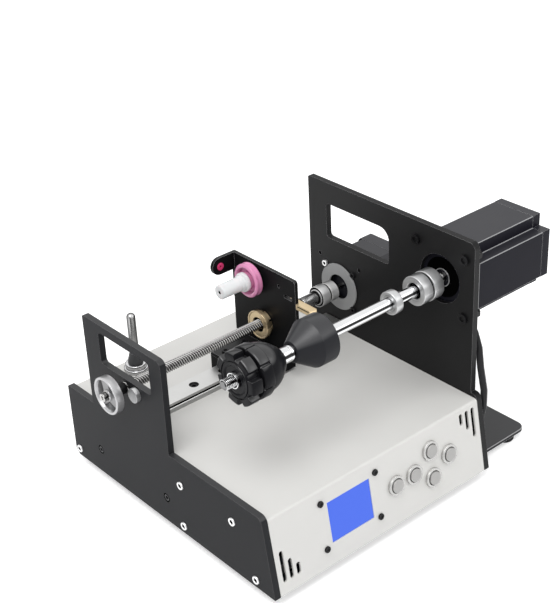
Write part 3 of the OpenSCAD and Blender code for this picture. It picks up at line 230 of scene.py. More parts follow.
def painted_root_shade(tree, middle, root_r_mm, crest_r_mm, dark):
    """Painted shade for a thread: 1 on its crests about the X axis through middle, and dark
    in its roots, where shade lies.
    """
    coords = tree.nodes.new("ShaderNodeTexCoord")
    across = tree.nodes.new("ShaderNodeVectorMath")
    across.operation = "MULTIPLY_ADD"
    across.inputs[1].default_value = (0, 1, 1)
    across.inputs[2].default_value = (0, -middle.y, -middle.z)
    tree.links.new(coords.outputs["Object"], across.inputs[0])
    length = tree.nodes.new("ShaderNodeVectorMath")
    length.operation = "LENGTH"
    tree.links.new(across.outputs["Vector"], length.inputs[0])
    return remap(tree, length.outputs["Value"], dark, 1, root_r_mm * MM, crest_r_mm * MM)


# Size and detail of the noise behind each kind of surface, and how far its gloss strays
COAT_CLOUDS = (22, 4)
GRAIN_DETAIL = 2
TOOL_MARK_DETAIL = 3
SMUDGES = (60, 3)
LACQUER_CLOUDS = (40, 4)
MILK_CLOUDS = (180, 3)
COAT_GLOSS = 0.05
LACQUER_GLOSS = 0.06
MILK_GLOSS = 0.03
METAL_GLOSS = (0.8, 1.25)


def coated(name, dark, light, rough, grain_mm, grain_depth, specular=0.5, painted_sheen=None):
    """Powder coat or moulded plastic: fine grain, faint clouding and uneven gloss.
    painted_sheen holds the gloss towards the floor, the level and the light, as a painted
    reflection in place of specular."""
    material, tree, shader = new_material(name)
    vector = object_coords(tree)
    clouds = noise(tree, vector, *COAT_CLOUDS)
    grain = noise(tree, vector, 1 / (grain_mm * MM), GRAIN_DETAIL)
    tree.links.new(two_tone(tree, clouds, dark, light), shader.inputs["Base Color"])
    tree.links.new(remap(tree, clouds, rough - COAT_GLOSS, rough + COAT_GLOSS),
                   shader.inputs["Roughness"])
    shader.inputs["Specular IOR Level"].default_value = specular
    if painted_sheen:
        # Painted sheen: the gloss follows the painted reflection's greys.
        tree.links.new(painted_reflection(tree, *painted_sheen), shader.inputs["Specular IOR Level"])
    add_bump(tree, shader, grain, grain_depth)
    return material


def metal(name, dark, light, rough, brush=(1, 1, 1), brush_scale=900, brush_depth=0.000004,
          studio=(0.8, 0.5, 1.0), rim=0.5, metallic=1.0, rim_span=(0.55, 0.92), thread=None):
    """Metal with fine tool marks stretched by brush, and smudges in its gloss. Its colour
    carries a painted reflection set by studio, and painted shade at its edges set by rim
    and rim_span. thread holds what painted_root_shade needs, for painted shade in a
    thread's roots."""
    material, tree, shader = new_material(name)
    marks = noise(tree, object_coords(tree, brush), brush_scale, TOOL_MARK_DETAIL)
    smudges = noise(tree, object_coords(tree), *SMUDGES)
    shader.inputs["Metallic"].default_value = metallic
    tint = two_tone(tree, smudges, dark, light)
    # Painted reflection times painted shade at the edges.
    mirrored = multiplied(tree, painted_reflection(tree, *studio), painted_rim_shade(tree, rim, *rim_span))
    # Painted shade in the thread's roots.
    if thread:
        mirrored = multiplied(tree, mirrored, painted_root_shade(tree, *thread))
    tree.links.new(multiplied(tree, tint, mirrored), shader.inputs["Base Color"])
    low, high = METAL_GLOSS
    tree.links.new(remap(tree, smudges, rough * low, rough * high), shader.inputs["Roughness"])
    add_bump(tree, shader, marks, brush_depth)
    return material


def laminated(name, dark, light, rough, sheet_mm, painted_sheen):
    """A stack of motor sheets across X under black lacquer, with a painted sheen in its gloss."""
    material, tree, shader = new_material(name)
    vector = object_coords(tree)
    clouds = noise(tree, vector, *LACQUER_CLOUDS)
    tree.links.new(two_tone(tree, clouds, dark, light), shader.inputs["Base Color"])
    tree.links.new(remap(tree, clouds, rough - LACQUER_GLOSS, rough + LACQUER_GLOSS),
                   shader.inputs["Roughness"])
    tree.links.new(painted_reflection(tree, *painted_sheen), shader.inputs["Specular IOR Level"])
    add_bump(tree, shader, bands(tree, vector, sheet_mm, 0.3), 0.00002, 0.3)
    return material


def lit_display(name, low, high, cell_mm):
    """A backlit display: an even glow with a faint raster under dark glass."""
    material, tree, shader = new_material(name)
    cells = remap(tree, bands(tree, object_coords(tree), cell_mm), 0.35, 0.65)
    tree.links.new(two_tone(tree, cells, low, high), shader.inputs["Emission Color"])
    shader.inputs["Base Color"].default_value = (0.02, 0.03, 0.12, 1)
    shader.inputs["Emission Strength"].default_value = 0.85
    shader.inputs["Roughness"].default_value = 0.22
    shader.inputs["Specular IOR Level"].default_value = 0.1
    return material


def milky(name, dark, light, rough, subsurface, transmission=0.0):
    """Translucent plastic with light that spreads inside."""
    material, tree, shader = new_material(name)
    clouds = noise(tree, object_coords(tree), *MILK_CLOUDS)
    tree.links.new(two_tone(tree, clouds, dark, light), shader.inputs["Base Color"])
    tree.links.new(remap(tree, clouds, rough - MILK_GLOSS, rough + MILK_GLOSS),
                   shader.inputs["Roughness"])
    shader.inputs["Subsurface Weight"].default_value = subsurface
    shader.inputs["Subsurface Radius"].default_value = (0.004, 0.003, 0.003)
    shader.inputs["Transmission Weight"].default_value = transmission
    add_bump(tree, shader, clouds, 0.00001)
    return material


# Coats and plastics
PLATE_BLACK = coated("plate_black", (0.0145, 0.015, 0.0165), (0.021, 0.0215, 0.024),
                     0.50, 0.5, 0.00002, painted_sheen=(0.10, 0.10, 0.6))
# Painted highlight for the broken edges of the left plate and the carriage block
PLATE_EDGE_HIGHLIGHT = coated("plate_edge_highlight", (0.11, 0.112, 0.118), (0.15, 0.152, 0.158),
                    0.42, 0.5, 0.00001, 0.5)
# Darker copy of the plate coat for the right plate and the screw bearing: painted shade
PLATE_SHADED = coated("plate_shaded", (0.007, 0.007, 0.0075), (0.012, 0.012, 0.0125),
                    0.46, 0.5, 0.00002, 0.16)
BRACKET_BLACK = coated("bracket_black", (0.005, 0.005, 0.0055), (0.009, 0.009, 0.0095),
                       0.42, 0.5, 0.00002, painted_sheen=(0.05, 0.04, 0.35))
SHEET_GREY = coated("sheet_grey", (0.64, 0.635, 0.615), (0.68, 0.675, 0.655),
                    0.42, 0.35, 0.000008)
CONE_BLACK = coated("cone_black", (0.014, 0.0145, 0.017), (0.022, 0.0225, 0.026),
                    0.42, 0.8, 0.00001, painted_sheen=(0.10, 0.10, 0.65))
BOOT_GREY = coated("boot_grey", (0.050, 0.051, 0.053), (0.070, 0.071, 0.074),
                   0.42, 0.8, 0.00001, painted_sheen=(0.10, 0.10, 0.65))
KNOB_BLACK = coated("knob_black", (0.005, 0.005, 0.006), (0.010, 0.010, 0.012),
                    0.30, 0.8, 0.00001, painted_sheen=(0.08, 0.06, 0.85))
RUBBER = coated("rubber", (0.012, 0.012, 0.012), (0.022, 0.022, 0.022),
                0.75, 0.6, 0.00003, 0.2)
CABLE = coated("cable_jacket", (0.010, 0.010, 0.011), (0.018, 0.018, 0.020),
               0.48, 0.6, 0.00001, 0.2)
SCREW_BLACK = coated("screw_black", (0.004, 0.004, 0.0045), (0.008, 0.008, 0.009),
                     0.35, 0.4, 0.000006, 0.2)
SUNK_SCREW = coated("sunk_screw", (0.05, 0.051, 0.054), (0.07, 0.071, 0.075),
                    0.4, 0.4, 0.000006, 0.3)
SHADE = coated("shade", (0.001, 0.001, 0.001), (0.002, 0.002, 0.002),
               0.9, 0.4, 0.000002, 0.0)
BOARD_GREEN = coated("board_green", (0.01, 0.10, 0.04), (0.02, 0.16, 0.07),
                     0.40, 0.5, 0.00001)
MOTOR_CAP = coated("motor_cap", (0.009, 0.009, 0.014), (0.015, 0.015, 0.021),
                   0.36, 0.6, 0.00001, painted_sheen=(0.06, 0.06, 0.55))
MOTOR_STACK = laminated("motor_stack", (0.009, 0.009, 0.014), (0.015, 0.015, 0.021),
                        0.40, 1.0, (0.06, 0.06, 0.55))
RING_GREY = coated("ring_grey", (0.27, 0.272, 0.275), (0.34, 0.342, 0.345),
                   0.44, 0.4, 0.000006, 0.4)
# Brighter painted highlight for the broken edges of the right plate, outrigger, bracket and motors
BRIGHT_EDGE_HIGHLIGHT = coated("bright_edge_highlight", (0.26, 0.262, 0.27), (0.34, 0.342, 0.35),
                     0.36, 0.5, 0.00001, 0.6)
DISPLAY = lit_display("display_blue", (0.070, 0.165, 0.86), (0.080, 0.180, 0.90), 0.5)
KNOB_WHITE = milky("knob_white", (0.80, 0.81, 0.82), (0.90, 0.90, 0.91), 0.20, 0.3, 0.15)
WHEEL_PINK = milky("wheel_pink", (0.70, 0.22, 0.44), (0.84, 0.36, 0.58), 0.16, 0.35, 0.1)
# Darker copy of the wheel's pink for its recess: painted shade
WHEEL_PINK_SHADED = milky("wheel_pink_shaded", (0.40, 0.04, 0.20), (0.54, 0.08, 0.30), 0.3, 0.2)
RUBY = milky("ruby", (0.62, 0.02, 0.12), (0.80, 0.08, 0.24), 0.12, 0.2, 0.1)

# Metals, with tool marks that run round X, along X or every way
ROUND_X = (1, 0.05, 0.05)
ALUMINIUM = metal("turned_aluminium", (0.58, 0.585, 0.59), (0.72, 0.725, 0.73),
                  0.36, ROUND_X, 2500, studio=(0.85, 0.6, 1.0), rim=0.3, metallic=0.75)
# Lighter copy of the turned aluminium for the traverse coupler: painted light
ALUMINIUM_LIT = metal("aluminium_lit", (0.80, 0.80, 0.80), (0.92, 0.92, 0.92),
                       0.32, ROUND_X, 2500, studio=(0.75, 0.7, 1.0), rim=0.3, metallic=0.5,
                       rim_span=(0.3, 0.8))
CHROME = metal("chrome", (0.80, 0.81, 0.82), (0.92, 0.92, 0.93),
               0.10, (0.1, 1, 1), 600, 0.000001, studio=(0.85, 0.04, 1.0), rim=0.15)
STEEL = metal("ground_steel", (0.58, 0.58, 0.57), (0.74, 0.73, 0.72),
              0.22, (0.05, 1, 1), 1500, studio=(0.80, 0.10, 1.0))
RAIL_STEEL = metal("rail_steel", (0.66, 0.66, 0.65), (0.78, 0.78, 0.77),
                   0.38, (0.03, 1, 1), 2500, studio=(0.5, 0.3, 1.0))
BRASS = metal("brass", (0.74, 0.57, 0.34), (0.86, 0.69, 0.44),
              0.28, ROUND_X, 2000, studio=(1.0, 0.35, 1.0), rim=0.4, metallic=0.8)
WHEEL_METAL = metal("wheel_metal", (0.50, 0.50, 0.51), (0.64, 0.64, 0.65),
                    0.30, ROUND_X, 2500, studio=(0.85, 0.75, 1.0), metallic=0.6)
# Darker copy of the wheel metal for the spokes: painted shade
WHEEL_METAL_SHADED = metal("wheel_metal_shaded", (0.24, 0.24, 0.245), (0.34, 0.34, 0.345),
                  0.34, ROUND_X, 2500, studio=(0.85, 0.75, 1.0), metallic=0.6)
POST_STEEL = metal("post_steel", (0.60, 0.60, 0.60), (0.72, 0.72, 0.72),
                   0.20, (0.1, 1, 1), 900, studio=(0.9, 0.7, 1.0), rim=0.06, metallic=0.8,
                   rim_span=(0.10, 0.5))
THREAD_STEEL = metal("thread_steel", (0.72, 0.71, 0.70), (0.86, 0.85, 0.84),
                     0.24, (0.05, 1, 1), 1500, studio=(0.74, 0.46, 1.0), rim=0.2,
                     rim_span=(0.3, 0.8), thread=(on_axis("lead_screw", 0), 3.2, 3.85, 0.22))
ROD_CHROME = metal("rod_chrome", (0.80, 0.81, 0.82), (0.92, 0.92, 0.93),
                   0.10, (0.1, 1, 1), 600, 0.000001, studio=(0.85, 0.04, 1.0), rim=0.15,
                   thread=(on_axis("spindle_rod", 0), 3.4, 3.9, 0.25))
BRIGHT_RING = metal("bright_ring", (0.66, 0.66, 0.67), (0.82, 0.82, 0.83),
                    0.20, (1, 1, 0.05), 1500, studio=(0.6, 0.12, 1.0))
SCREW_BRIGHT = metal("screw_bright", (0.90, 0.90, 0.91), (0.97, 0.97, 0.97),
                     0.38, (1, 1, 1), 1500, 0.000002, studio=(1.0, 0.8, 1.0))
BUTTON_METAL = metal("button_metal", (0.40, 0.395, 0.385), (0.48, 0.475, 0.465),
                     0.34, (1, 1, 1), 2500, studio=(0.9, 0.75, 1.0), rim=0.6, metallic=0.5)
BEZEL_METAL = metal("bezel_metal", (0.62, 0.615, 0.60), (0.74, 0.735, 0.72),
                    0.26, (1, 1, 1), 2500, studio=(0.8, 0.7, 1.0), rim=0.25, metallic=0.55)


# Mesh code

def finish(bm, name, material, body, replaced=()):
    """Makes bm's object, smoothed by angle, and ties it to the frame."""
    bmesh.ops.remove_doubles(bm, verts=bm.verts, dist=SAME_POINT)
    bmesh.ops.recalc_face_normals(bm, faces=bm.faces)
    mesh = bpy.data.meshes.new(name)
    bm.to_mesh(mesh)
    bm.free()
    for face in mesh.polygons:
        face.use_smooth = True
    mesh.set_sharp_from_angle(angle=SMOOTH_LIMIT)
    piece = bpy.data.objects.new(name, mesh)
    bpy.context.scene.collection.objects.link(piece)
    piece.data.materials.append(material)
    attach(piece, body)
    if replaced:
        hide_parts(*replaced)


def dress(node, material, edge_mm=EDGE_MM, edge_highlight=None):
    """Keeps a CAD node, with a finish and softly broken edges, which carry edge_highlight,
    a painted highlight, when it is given.
    """
    piece = nodes[node]
    piece.data.materials.clear()
    piece.data.materials.append(material)
    if edge_highlight:
        piece.data.materials.append(edge_highlight)
    weld = piece.modifiers.new("weld", "WELD")
    weld.merge_threshold = WELD_GAP
    flat = piece.modifiers.new("flat_faces", "DECIMATE")
    flat.decimate_type = "DISSOLVE"
    flat.angle_limit = FLAT_LIMIT
    edge = piece.modifiers.new("broken_edges", "BEVEL")
    edge.width = edge_mm * MM
    edge.segments = EDGE_STEPS
    edge.limit_method = "ANGLE"
    edge.angle_limit = CREASE_LIMIT
    edge.harden_normals = False
    # The broken edges take the painted highlight.
    if edge_highlight:
        edge.material = 1
    for face in piece.data.polygons:
        face.use_smooth = True
    weighted = piece.modifiers.new("weighted", "WEIGHTED_NORMAL")
    weighted.keep_sharp = True


def soften(profile, radius):
    """The profile with each inner corner cut to an arc of about that radius."""
    points = [Vector(p) for p in profile]
    out = [points[0]]
    for before, here, after in zip(points, points[1:], points[2:]):
        to_before = before - here
        to_after = after - here
        reach = min(radius, to_before.length / 2, to_after.length / 2)
        start = here + to_before.normalized() * reach
        end = here + to_after.normalized() * reach
        for i in range(ROUND_STEPS + 1):
            t = i / ROUND_STEPS
            out.append(start.lerp(here, t).lerp(here.lerp(end, t), t))
    out.append(points[-1])
    return out


def ring_profile(bore, outline):
    """A closed profile: outline, then back along the bore."""
    first = (outline[0][0], bore)
    last = (outline[-1][0], bore)
    return [first, *[tuple(p) for p in outline], last, first]


def axis_frame(origin, direction=ALONG_X):
    """A matrix whose local Z runs along direction from origin."""
    z = Vector(direction).normalized()
    x = z.orthogonal().normalized()
    y = z.cross(x)
    matrix = Matrix((x, y, z)).transposed().to_4x4()
    matrix.translation = origin
    return matrix


def add_lathe(bm, profile_mm, place, sides=LATHE_SIDES):
    """Turns a profile of (along, radius) about place's local Z into bm."""
    rings = []
    for along, radius in ((a * MM, r * MM) for a, r in profile_mm):
        if radius < SAME_POINT:
            rings.append([bm.verts.new(place @ Vector((0, 0, along)))])
            continue
        rings.append([bm.verts.new(place @ Vector((
            radius * math.cos(TAU * k / sides), radius * math.sin(TAU * k / sides), along)))
            for k in range(sides)])
    for low, high in zip(rings, rings[1:]):
        for k in range(sides):
            n = (k + 1) % sides
            corners = []
            for v in (low[k % len(low)], low[n % len(low)],
                      high[n % len(high)], high[k % len(high)]):
                if v not in corners:
                    corners.append(v)
            if len(corners) > 2:
                bm.faces.new(corners)


def add_rings(bm, rings, middle, sides):
    """Skins rings about the X axis through middle. Each ring is (along, radius at an angle),
    in millimetres."""
    rows = []
    for along, radius_at in rings:
        row = []
        for k in range(sides):
            angle = TAU * k / sides
            radius = radius_at(angle)
            row.append(bm.verts.new(middle + Vector((
                along * MM, radius * MM * math.cos(angle), radius * MM * math.sin(angle)))))
        rows.append(row)
    for low, high in zip(rows, rows[1:]):
        for k in range(sides):
            n = (k + 1) % sides
            bm.faces.new((low[k], low[n], high[n], high[k]))


def round_at(radius):
    """The same radius at every angle."""
    return lambda angle: radius


def lobed(radius, depth, top_share, foot_share, turn, inset, lobes):
    """Radius at an angle of a lobed ring, drawn in by inset."""
    step = TAU / lobes

    def at_angle(angle):
        off = abs((angle - turn + step / 2) % step - step / 2) / step
        t = min(max((off - top_share) / (foot_share - top_share), 0), 1)
        return radius - inset - depth * t * t * (3 - 2 * t)
    return at_angle


def add_thread(bm, middle, x0, x1, radius, depth, lead, starts):
    """A right-handed thread about the X axis, with flat crests and roots and closed ends."""
    count = int((x1 - x0) * starts / lead * THREAD_STEPS)

    def radius_at(x):
        def at_angle(angle):
            phase = (starts * (x / lead - angle / TAU)) % 1.0
            root = min(max((0.5 - abs(phase - 0.5)) * 5 - 0.75, 0), 1)
            return radius - depth * root
        return at_angle

    closed = round_at(0.01)
    stations = [x0 + (x1 - x0) * i / count for i in range(count + 1)]
    rings = [(x0, closed), *[(x, radius_at(x)) for x in stations], (x1, closed)]
    add_rings(bm, rings, middle, THREAD_SIDES)


def add_block(bm, corner, sides, place=None, edge=0):
    """A box from corner with those sides, in a local frame, with its edges cut."""
    made = bmesh.ops.create_cube(bm, size=1.0)["verts"]
    for v in made:
        v.co = Vector(corner) + Vector((v.co[i] + 0.5) * sides[i] for i in range(3))
    edges = list(dict.fromkeys(e for v in made for e in v.link_edges))
    if edge:
        new = bmesh.ops.bevel(bm, geom=edges, offset=edge, segments=EDGE_STEPS,
                              affect="EDGES")["verts"]
        made = list(dict.fromkeys([*(v for v in made if v.is_valid), *new]))
    if place:
        bmesh.ops.transform(bm, matrix=place, verts=made)


def islands(node):
    """Boxes of a CAD node's separate solids, in the order of their first corners."""
    bm = bmesh.new()
    bm.from_mesh(nodes[node].data)
    bm.transform(nodes[node].matrix_world)
    bmesh.ops.remove_doubles(bm, verts=bm.verts, dist=SAME_POINT)
    seen = set()
    boxes = []
    for first in bm.verts:
        if first in seen:
            continue
        seen.add(first)
        stack = [first]
        group = []
        while stack:
            v = stack.pop()
            group.append(v.co.copy())
            for e in v.link_edges:
                other = e.other_vert(v)
                if other not in seen:
                    seen.add(other)
                    stack.append(other)
        boxes.append((Vector(map(min, zip(*group))), Vector(map(max, zip(*group)))))
    bm.free()
    return boxes


def turned(name, profile_mm, origin, material, body, replaced=(), edge_mm=EDGE_MM,
           bore_mm=None, sides=LATHE_SIDES, direction=ALONG_X):
    """A turned piece. profile_mm holds (along, radius) from origin along direction, and is
    closed round a bore of bore_mm."""
    profile = soften(profile_mm, edge_mm)
    if bore_mm:
        profile = ring_profile(bore_mm, profile)
    bm = bmesh.new()
    add_lathe(bm, profile, axis_frame(origin, direction), sides)
    finish(bm, name, material, body, replaced)


def turned_node(node, profile_mm, material, body, edge_mm=EDGE_MM, bore_mm=None,
                name=None):
    """Replaces a CAD node with a turned piece that starts at the node's left face."""
    turned(name or node + "_turned", profile_mm, left_face(node), material, body, [node],
           edge_mm, bore_mm)


def shade_ring(name, origin, start, end, radius, bore, body, sides=LATHE_SIDES):
    """A black ring where no light reaches, from start to end along X from origin."""
    turned(name, [(start, radius), (end, radius)], origin, SHADE, body, (),
           SHADE_EDGE_MM, bore, sides)


# Spindle and lead screw

def make_lead_screw():
    x0, x1 = span("lead_screw")
    end_gap = 0.3
    bm = bmesh.new()
    add_thread(bm, on_axis("lead_screw", 0), x0 + end_gap, x1 - end_gap, *LEAD_THREAD)
    finish(bm, "lead_screw_thread", THREAD_STEEL, "screw_shaft", ["lead_screw"])


def make_spindle_rod():
    """A threaded front end with a coned tip, and a plain rod behind the lock nut."""
    x0, x1 = span("spindle_rod")
    plain_x = span("lock_nut")[1]
    middle = on_axis("spindle_rod", 0)
    place = axis_frame(middle)
    bm = bmesh.new()
    add_thread(bm, middle, x0 + 0.6, plain_x, *ROD_THREAD)
    add_lathe(bm, [(x0, 0), (x0, 2.6), (x0 + 0.7, 3.4)], place)
    add_lathe(bm, [(plain_x, 0), (plain_x, 4.2), (plain_x + 0.4, 4.5), (x1, 4.5), (x1, 0)], place)
    finish(bm, "spindle_rod_turned", ROD_CHROME, "spindle", ["spindle_rod"])


def make_spindle_rings():
    turned_node("spindle_sleeve", [
        (0, ROD_SEAT_MM), (0, 5.7), (1.1, 5.7), (1.1, 5.45), (1.5, 5.45), (1.5, 5.7), (7.2, 5.7),
        (7.2, 5.5), (7.5, 5.5), (7.5, 5.7), (10.5, 5.7), (10.5, ROD_SEAT_MM)],
        CHROME, "spindle", 0.12, ROD_BORE_MM)
    turned_node("drive_cone", [
        (0, ROD_SEAT_MM), (0, 7.6), (15.5, 17.5), (28.5, 17.5), (28.5, 14.6), (27.6, 14.6),
        (27.6, ROD_SEAT_MM)],
        CONE_BLACK, "spindle", 0.3, ROD_BORE_MM)
    turned_node("stop_collar", [
        (0.9, ROD_SEAT_MM), (0.9, 5.7), (0, 6.3), (0, 8.8), (6.5, 8.8), (6.5, 6.2), (5.8, 5.6),
        (5.8, ROD_SEAT_MM)],
        ALUMINIUM, "spindle", 0.8, ROD_BORE_MM)
    turned_node("spindle_coupler", [
        (2.4, ROD_SEAT_MM), (2.4, 5.9), (0.9, 6.1), (0, 6.6), (0, 11.3), (8.9, 11.3), (8.9, 9.8),
        (10.1, 9.8), (10.1, 11.7), (19.5, 11.7), (19.5, 6.8), (17.9, 6.8), (17.9, ROD_SEAT_MM)],
        ALUMINIUM, "spindle", 0.7, ROD_BORE_MM)
    face = left_face("spindle_coupler")
    shade_ring("spindle_coupler_gap", face, 8.95, 10.05, 10.5, 9.85, "spindle")
    shade_ring("spindle_coupler_bore", face, 1.9, 2.3, 5.85, 4.65, "spindle")


def make_screw_coupler():
    """A slim nose, and the split body that starts where the nose ends."""
    nose = 15.4
    turned_node("screw_coupler", [
        (0, THREAD_SEAT_MM), (0, 5), (nose, 5), (nose, THREAD_SEAT_MM)],
        POST_STEEL, "screw_shaft", 0.4, THREAD_BORE_MM, "screw_coupler_nose")
    start = on_axis("screw_coupler", span("screw_coupler")[0] + nose)
    turned("screw_coupler_body", [
        (0, THREAD_SEAT_MM), (0, 6.6), (2.4, 6.6), (2.4, 7.6), (0.6, 7.9), (0.6, 8.5), (8.7, 8.5),
        (8.7, 7.1), (10.3, 7.1), (10.3, 8), (17.6, 8), (17.6, 5.4), (16.1, 5.4),
        (16.1, THREAD_SEAT_MM)],
        start, ALUMINIUM_LIT, "screw_shaft", (), 0.4, THREAD_BORE_MM)
    shade_ring("screw_coupler_gap", start, 8.75, 10.25, 7.5, 7.15, "screw_shaft")
    shade_ring("screw_coupler_mouth", start, 0.7, 2.3, 7.5, 6.65, "screw_shaft")
    shade_ring("screw_nose_groove", start, -0.9, -0.1, 5.6, 5.0, "screw_shaft")


# Lobed grips of the clamp

LOBES = 7
LOBE_TURN = math.radians(23.4)
BLOCK_TURN = math.radians(13.3)
GRIP_R_MM = 19


def make_nut_insert():
    turned_node("nut_insert", [
        (2.4, THREAD_SEAT_MM), (2.4, 4.7), (0, 4.9), (0, 5.7), (1.5, 5.7), (1.5, 5.2), (10, 5.2),
        (10, THREAD_SEAT_MM)],
        CHROME, "clamp_nut", 0.2, THREAD_BORE_MM)


def make_lock_nut():
    """Bore, front face with its raised rings, and the lobed grip with softened edges."""
    x0, x1 = span("lock_nut")
    bore = round_at(5.3)

    def grip(inset):
        return lobed(GRIP_R_MM, 4.0, 0.29, 0.37, LOBE_TURN, inset, LOBES)

    rings = [
        (x1 - 0.4, bore), (x0 + 0.9, bore), (x0 + 0.9, round_at(9.8)), (x0 + 0.15, round_at(10.6)),
        (x0, round_at(11.2)), (x0, round_at(12.6)), (x0 + 0.7, round_at(12.9)),
        (x0 + 0.7, round_at(13.5)), (x0, round_at(13.8)), (x0, grip(1.5)), (x0 + 0.25, grip(0.7)),
        (x0 + 0.8, grip(0.2)), (x0 + 1.5, grip(0)), (x1 - 1.0, grip(0)), (x1 - 0.3, grip(0.3)),
        (x1, grip(0.9)), (x1, bore)]
    bm = bmesh.new()
    add_rings(bm, rings, on_axis("lock_nut", 0), GRIP_SIDES)
    finish(bm, "lock_nut_grip", KNOB_BLACK, "clamp_nut", ["lock_nut"])


def make_clamp_cone():
    """A blocky grip ring, and a swelling nose from base_r down to tip_r."""
    x0, x1 = span("clamp_cone")
    ring_x = x0 + 1.6
    nose_x = ring_x + 8.5
    tip_r = 8.5
    base_r = 17.6
    swell = 2.4
    steps = 18
    bore = round_at(ROD_SEAT_MM)
    back = round_at(14)

    def grip(inset):
        return lobed(GRIP_R_MM, 1.4, 0.44, 0.475, BLOCK_TURN, inset, LOBES)

    rings = [
        (x0, bore), (x0, back), (ring_x, back), (ring_x, grip(1.6)), (ring_x + 0.25, grip(0.8)),
        (ring_x + 0.8, grip(0.2)), (ring_x + 1.4, grip(0)), (nose_x - 0.8, grip(0)),
        (nose_x - 0.2, grip(0.3)), (nose_x, grip(1.2))]
    for i in range(steps + 1):
        t = i / steps
        radius = tip_r + (base_r - tip_r) * (1 - t) + swell * math.sin(math.pi * t)
        rings.append((nose_x + 0.2 + (x1 - nose_x - 0.5) * t, round_at(radius)))
    rings += [(x1, round_at(tip_r - 0.5)), (x1, bore)]
    bm = bmesh.new()
    add_rings(bm, rings, on_axis("clamp_cone", 0), GRIP_SIDES)
    finish(bm, "clamp_cone_nose", KNOB_BLACK, "clamp", ["clamp_cone"])


# Handwheel and post

SPOKES = 3
SPOKE_TURN_DEGREES = -13


def make_handwheel():
    middle = left_face("handwheel")
    place = axis_frame(middle)
    hub_end = 6.4
    bm = bmesh.new()
    rim = [(0, 12.4), (0, 14.2), (6, 14.2), (6, 11.5), (1.6, 11.5), (0, 12.4)]
    add_lathe(bm, soften(rim, 0.4), place)
    add_lathe(bm, soften([(0.8, 0), (0.8, 4.4), (hub_end, 4.4), (hub_end, 0)], 0.6), place)
    finish(bm, "handwheel_turned", WHEEL_METAL, "screw_shaft", ["handwheel"])
    # A black spacer; its black also stands in for the shade beside the rim, painted shade
    turned("handwheel_sleeve", [(hub_end, 0), (hub_end, 4.3), (16, 4.3), (16, 0)], middle,
           SCREW_BLACK, "screw_shaft", (), 0.4)
    web = bmesh.new()
    for i in range(SPOKES):
        angle = math.radians(360 / SPOKES * i + SPOKE_TURN_DEGREES)
        turn = Matrix.Translation(middle) @ Matrix.Rotation(angle, 4, "X")
        add_block(web, (0.0018, -0.0042, 0.002), (0.0032, 0.0084, 0.0102), turn, 0.0004)
    finish(web, "handwheel_spokes", WHEEL_METAL_SHADED, "screw_shaft")


def make_wire_post():
    """A domed rod in a stepped seat, with a coned boot round its foot."""
    low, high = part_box("wire_post")
    foot = centre("wire_post")
    foot.z = low.z
    upward = (0, 0, 1)
    length = (high.z - low.z) / MM
    post_r = (high.x - low.x) / 2 / MM
    dome_steps = 8
    quarter = [math.pi / 2 * i / dome_steps for i in range(dome_steps)]
    dome = [(length - post_r + post_r * math.sin(a), post_r * math.cos(a)) for a in quarter]
    turned("wire_post_turned", [(0, 0), (0, post_r), *dome, (length, 0)], foot, POST_STEEL, "base",
           ["wire_post"], 0.02, direction=upward)
    bore = post_r + 0.05
    foot.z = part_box("post_seat")[0].z
    turned("post_seat_turned", [
        (0, bore), (0, 9.5), (3.2, 9.5), (3.2, 7.9), (3.6, 7.9), (3.6, 8.3), (6.8, 8.3),
        (6.8, bore)],
        foot, BRIGHT_RING, "base", ["post_seat"], 0.8, bore, direction=upward)
    foot.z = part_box("post_cone")[0].z
    turned("post_cone_turned", [(0, bore), (0, 6), (2.2, 5.9), (9, 4.1), (9, bore)],
           foot, BOOT_GREY, "base", ["post_cone"], 0.5, bore, direction=upward)


# Screws

# Radius and height of a head, and radius of its socket
SIDE_HEAD_MM = (3.3, 1.2, 1.8)
BRIGHT_HEAD_MM = (2.8, 2.0, 1.4)
SHADED_HEAD_MM = (2.6, 1.6, 1.3)
HEAD_EDGE_MM = 0.3
SOCKET_DEPTH_MM = 0.5

# Farther than this from the left plate, in metres, a side screw sits in the right one
LEFT_REACH = 0.02


def ring_screws(name, replaced, places, outward, head_mm, material):
    """Pan heads with a round socket, darkened by a black disc of painted shade, at places
    on a face that looks outward.
    """
    head_r, head_t, socket_r = head_mm
    floor_t = head_t - SOCKET_DEPTH_MM
    head = soften([(0, 0), (0, head_r), (head_t, head_r - HEAD_EDGE_MM), (head_t, socket_r),
                   (floor_t, socket_r), (floor_t, 0)], HEAD_EDGE_MM)
    socket_shade_r = socket_r + 0.1
    dark = [(floor_t - 0.1, 0), (floor_t - 0.1, socket_shade_r), (floor_t + 0.05, socket_shade_r),
            (floor_t + 0.05, 0)]
    heads = bmesh.new()
    sockets = bmesh.new()
    for place in places:
        matrix = axis_frame(place, outward)
        add_lathe(heads, head, matrix, SCREW_SIDES)
        add_lathe(sockets, dark, matrix, SCREW_SIDES)
    finish(heads, name, material, "base", replaced)
    finish(sockets, name + "_sockets", SHADE, "base")


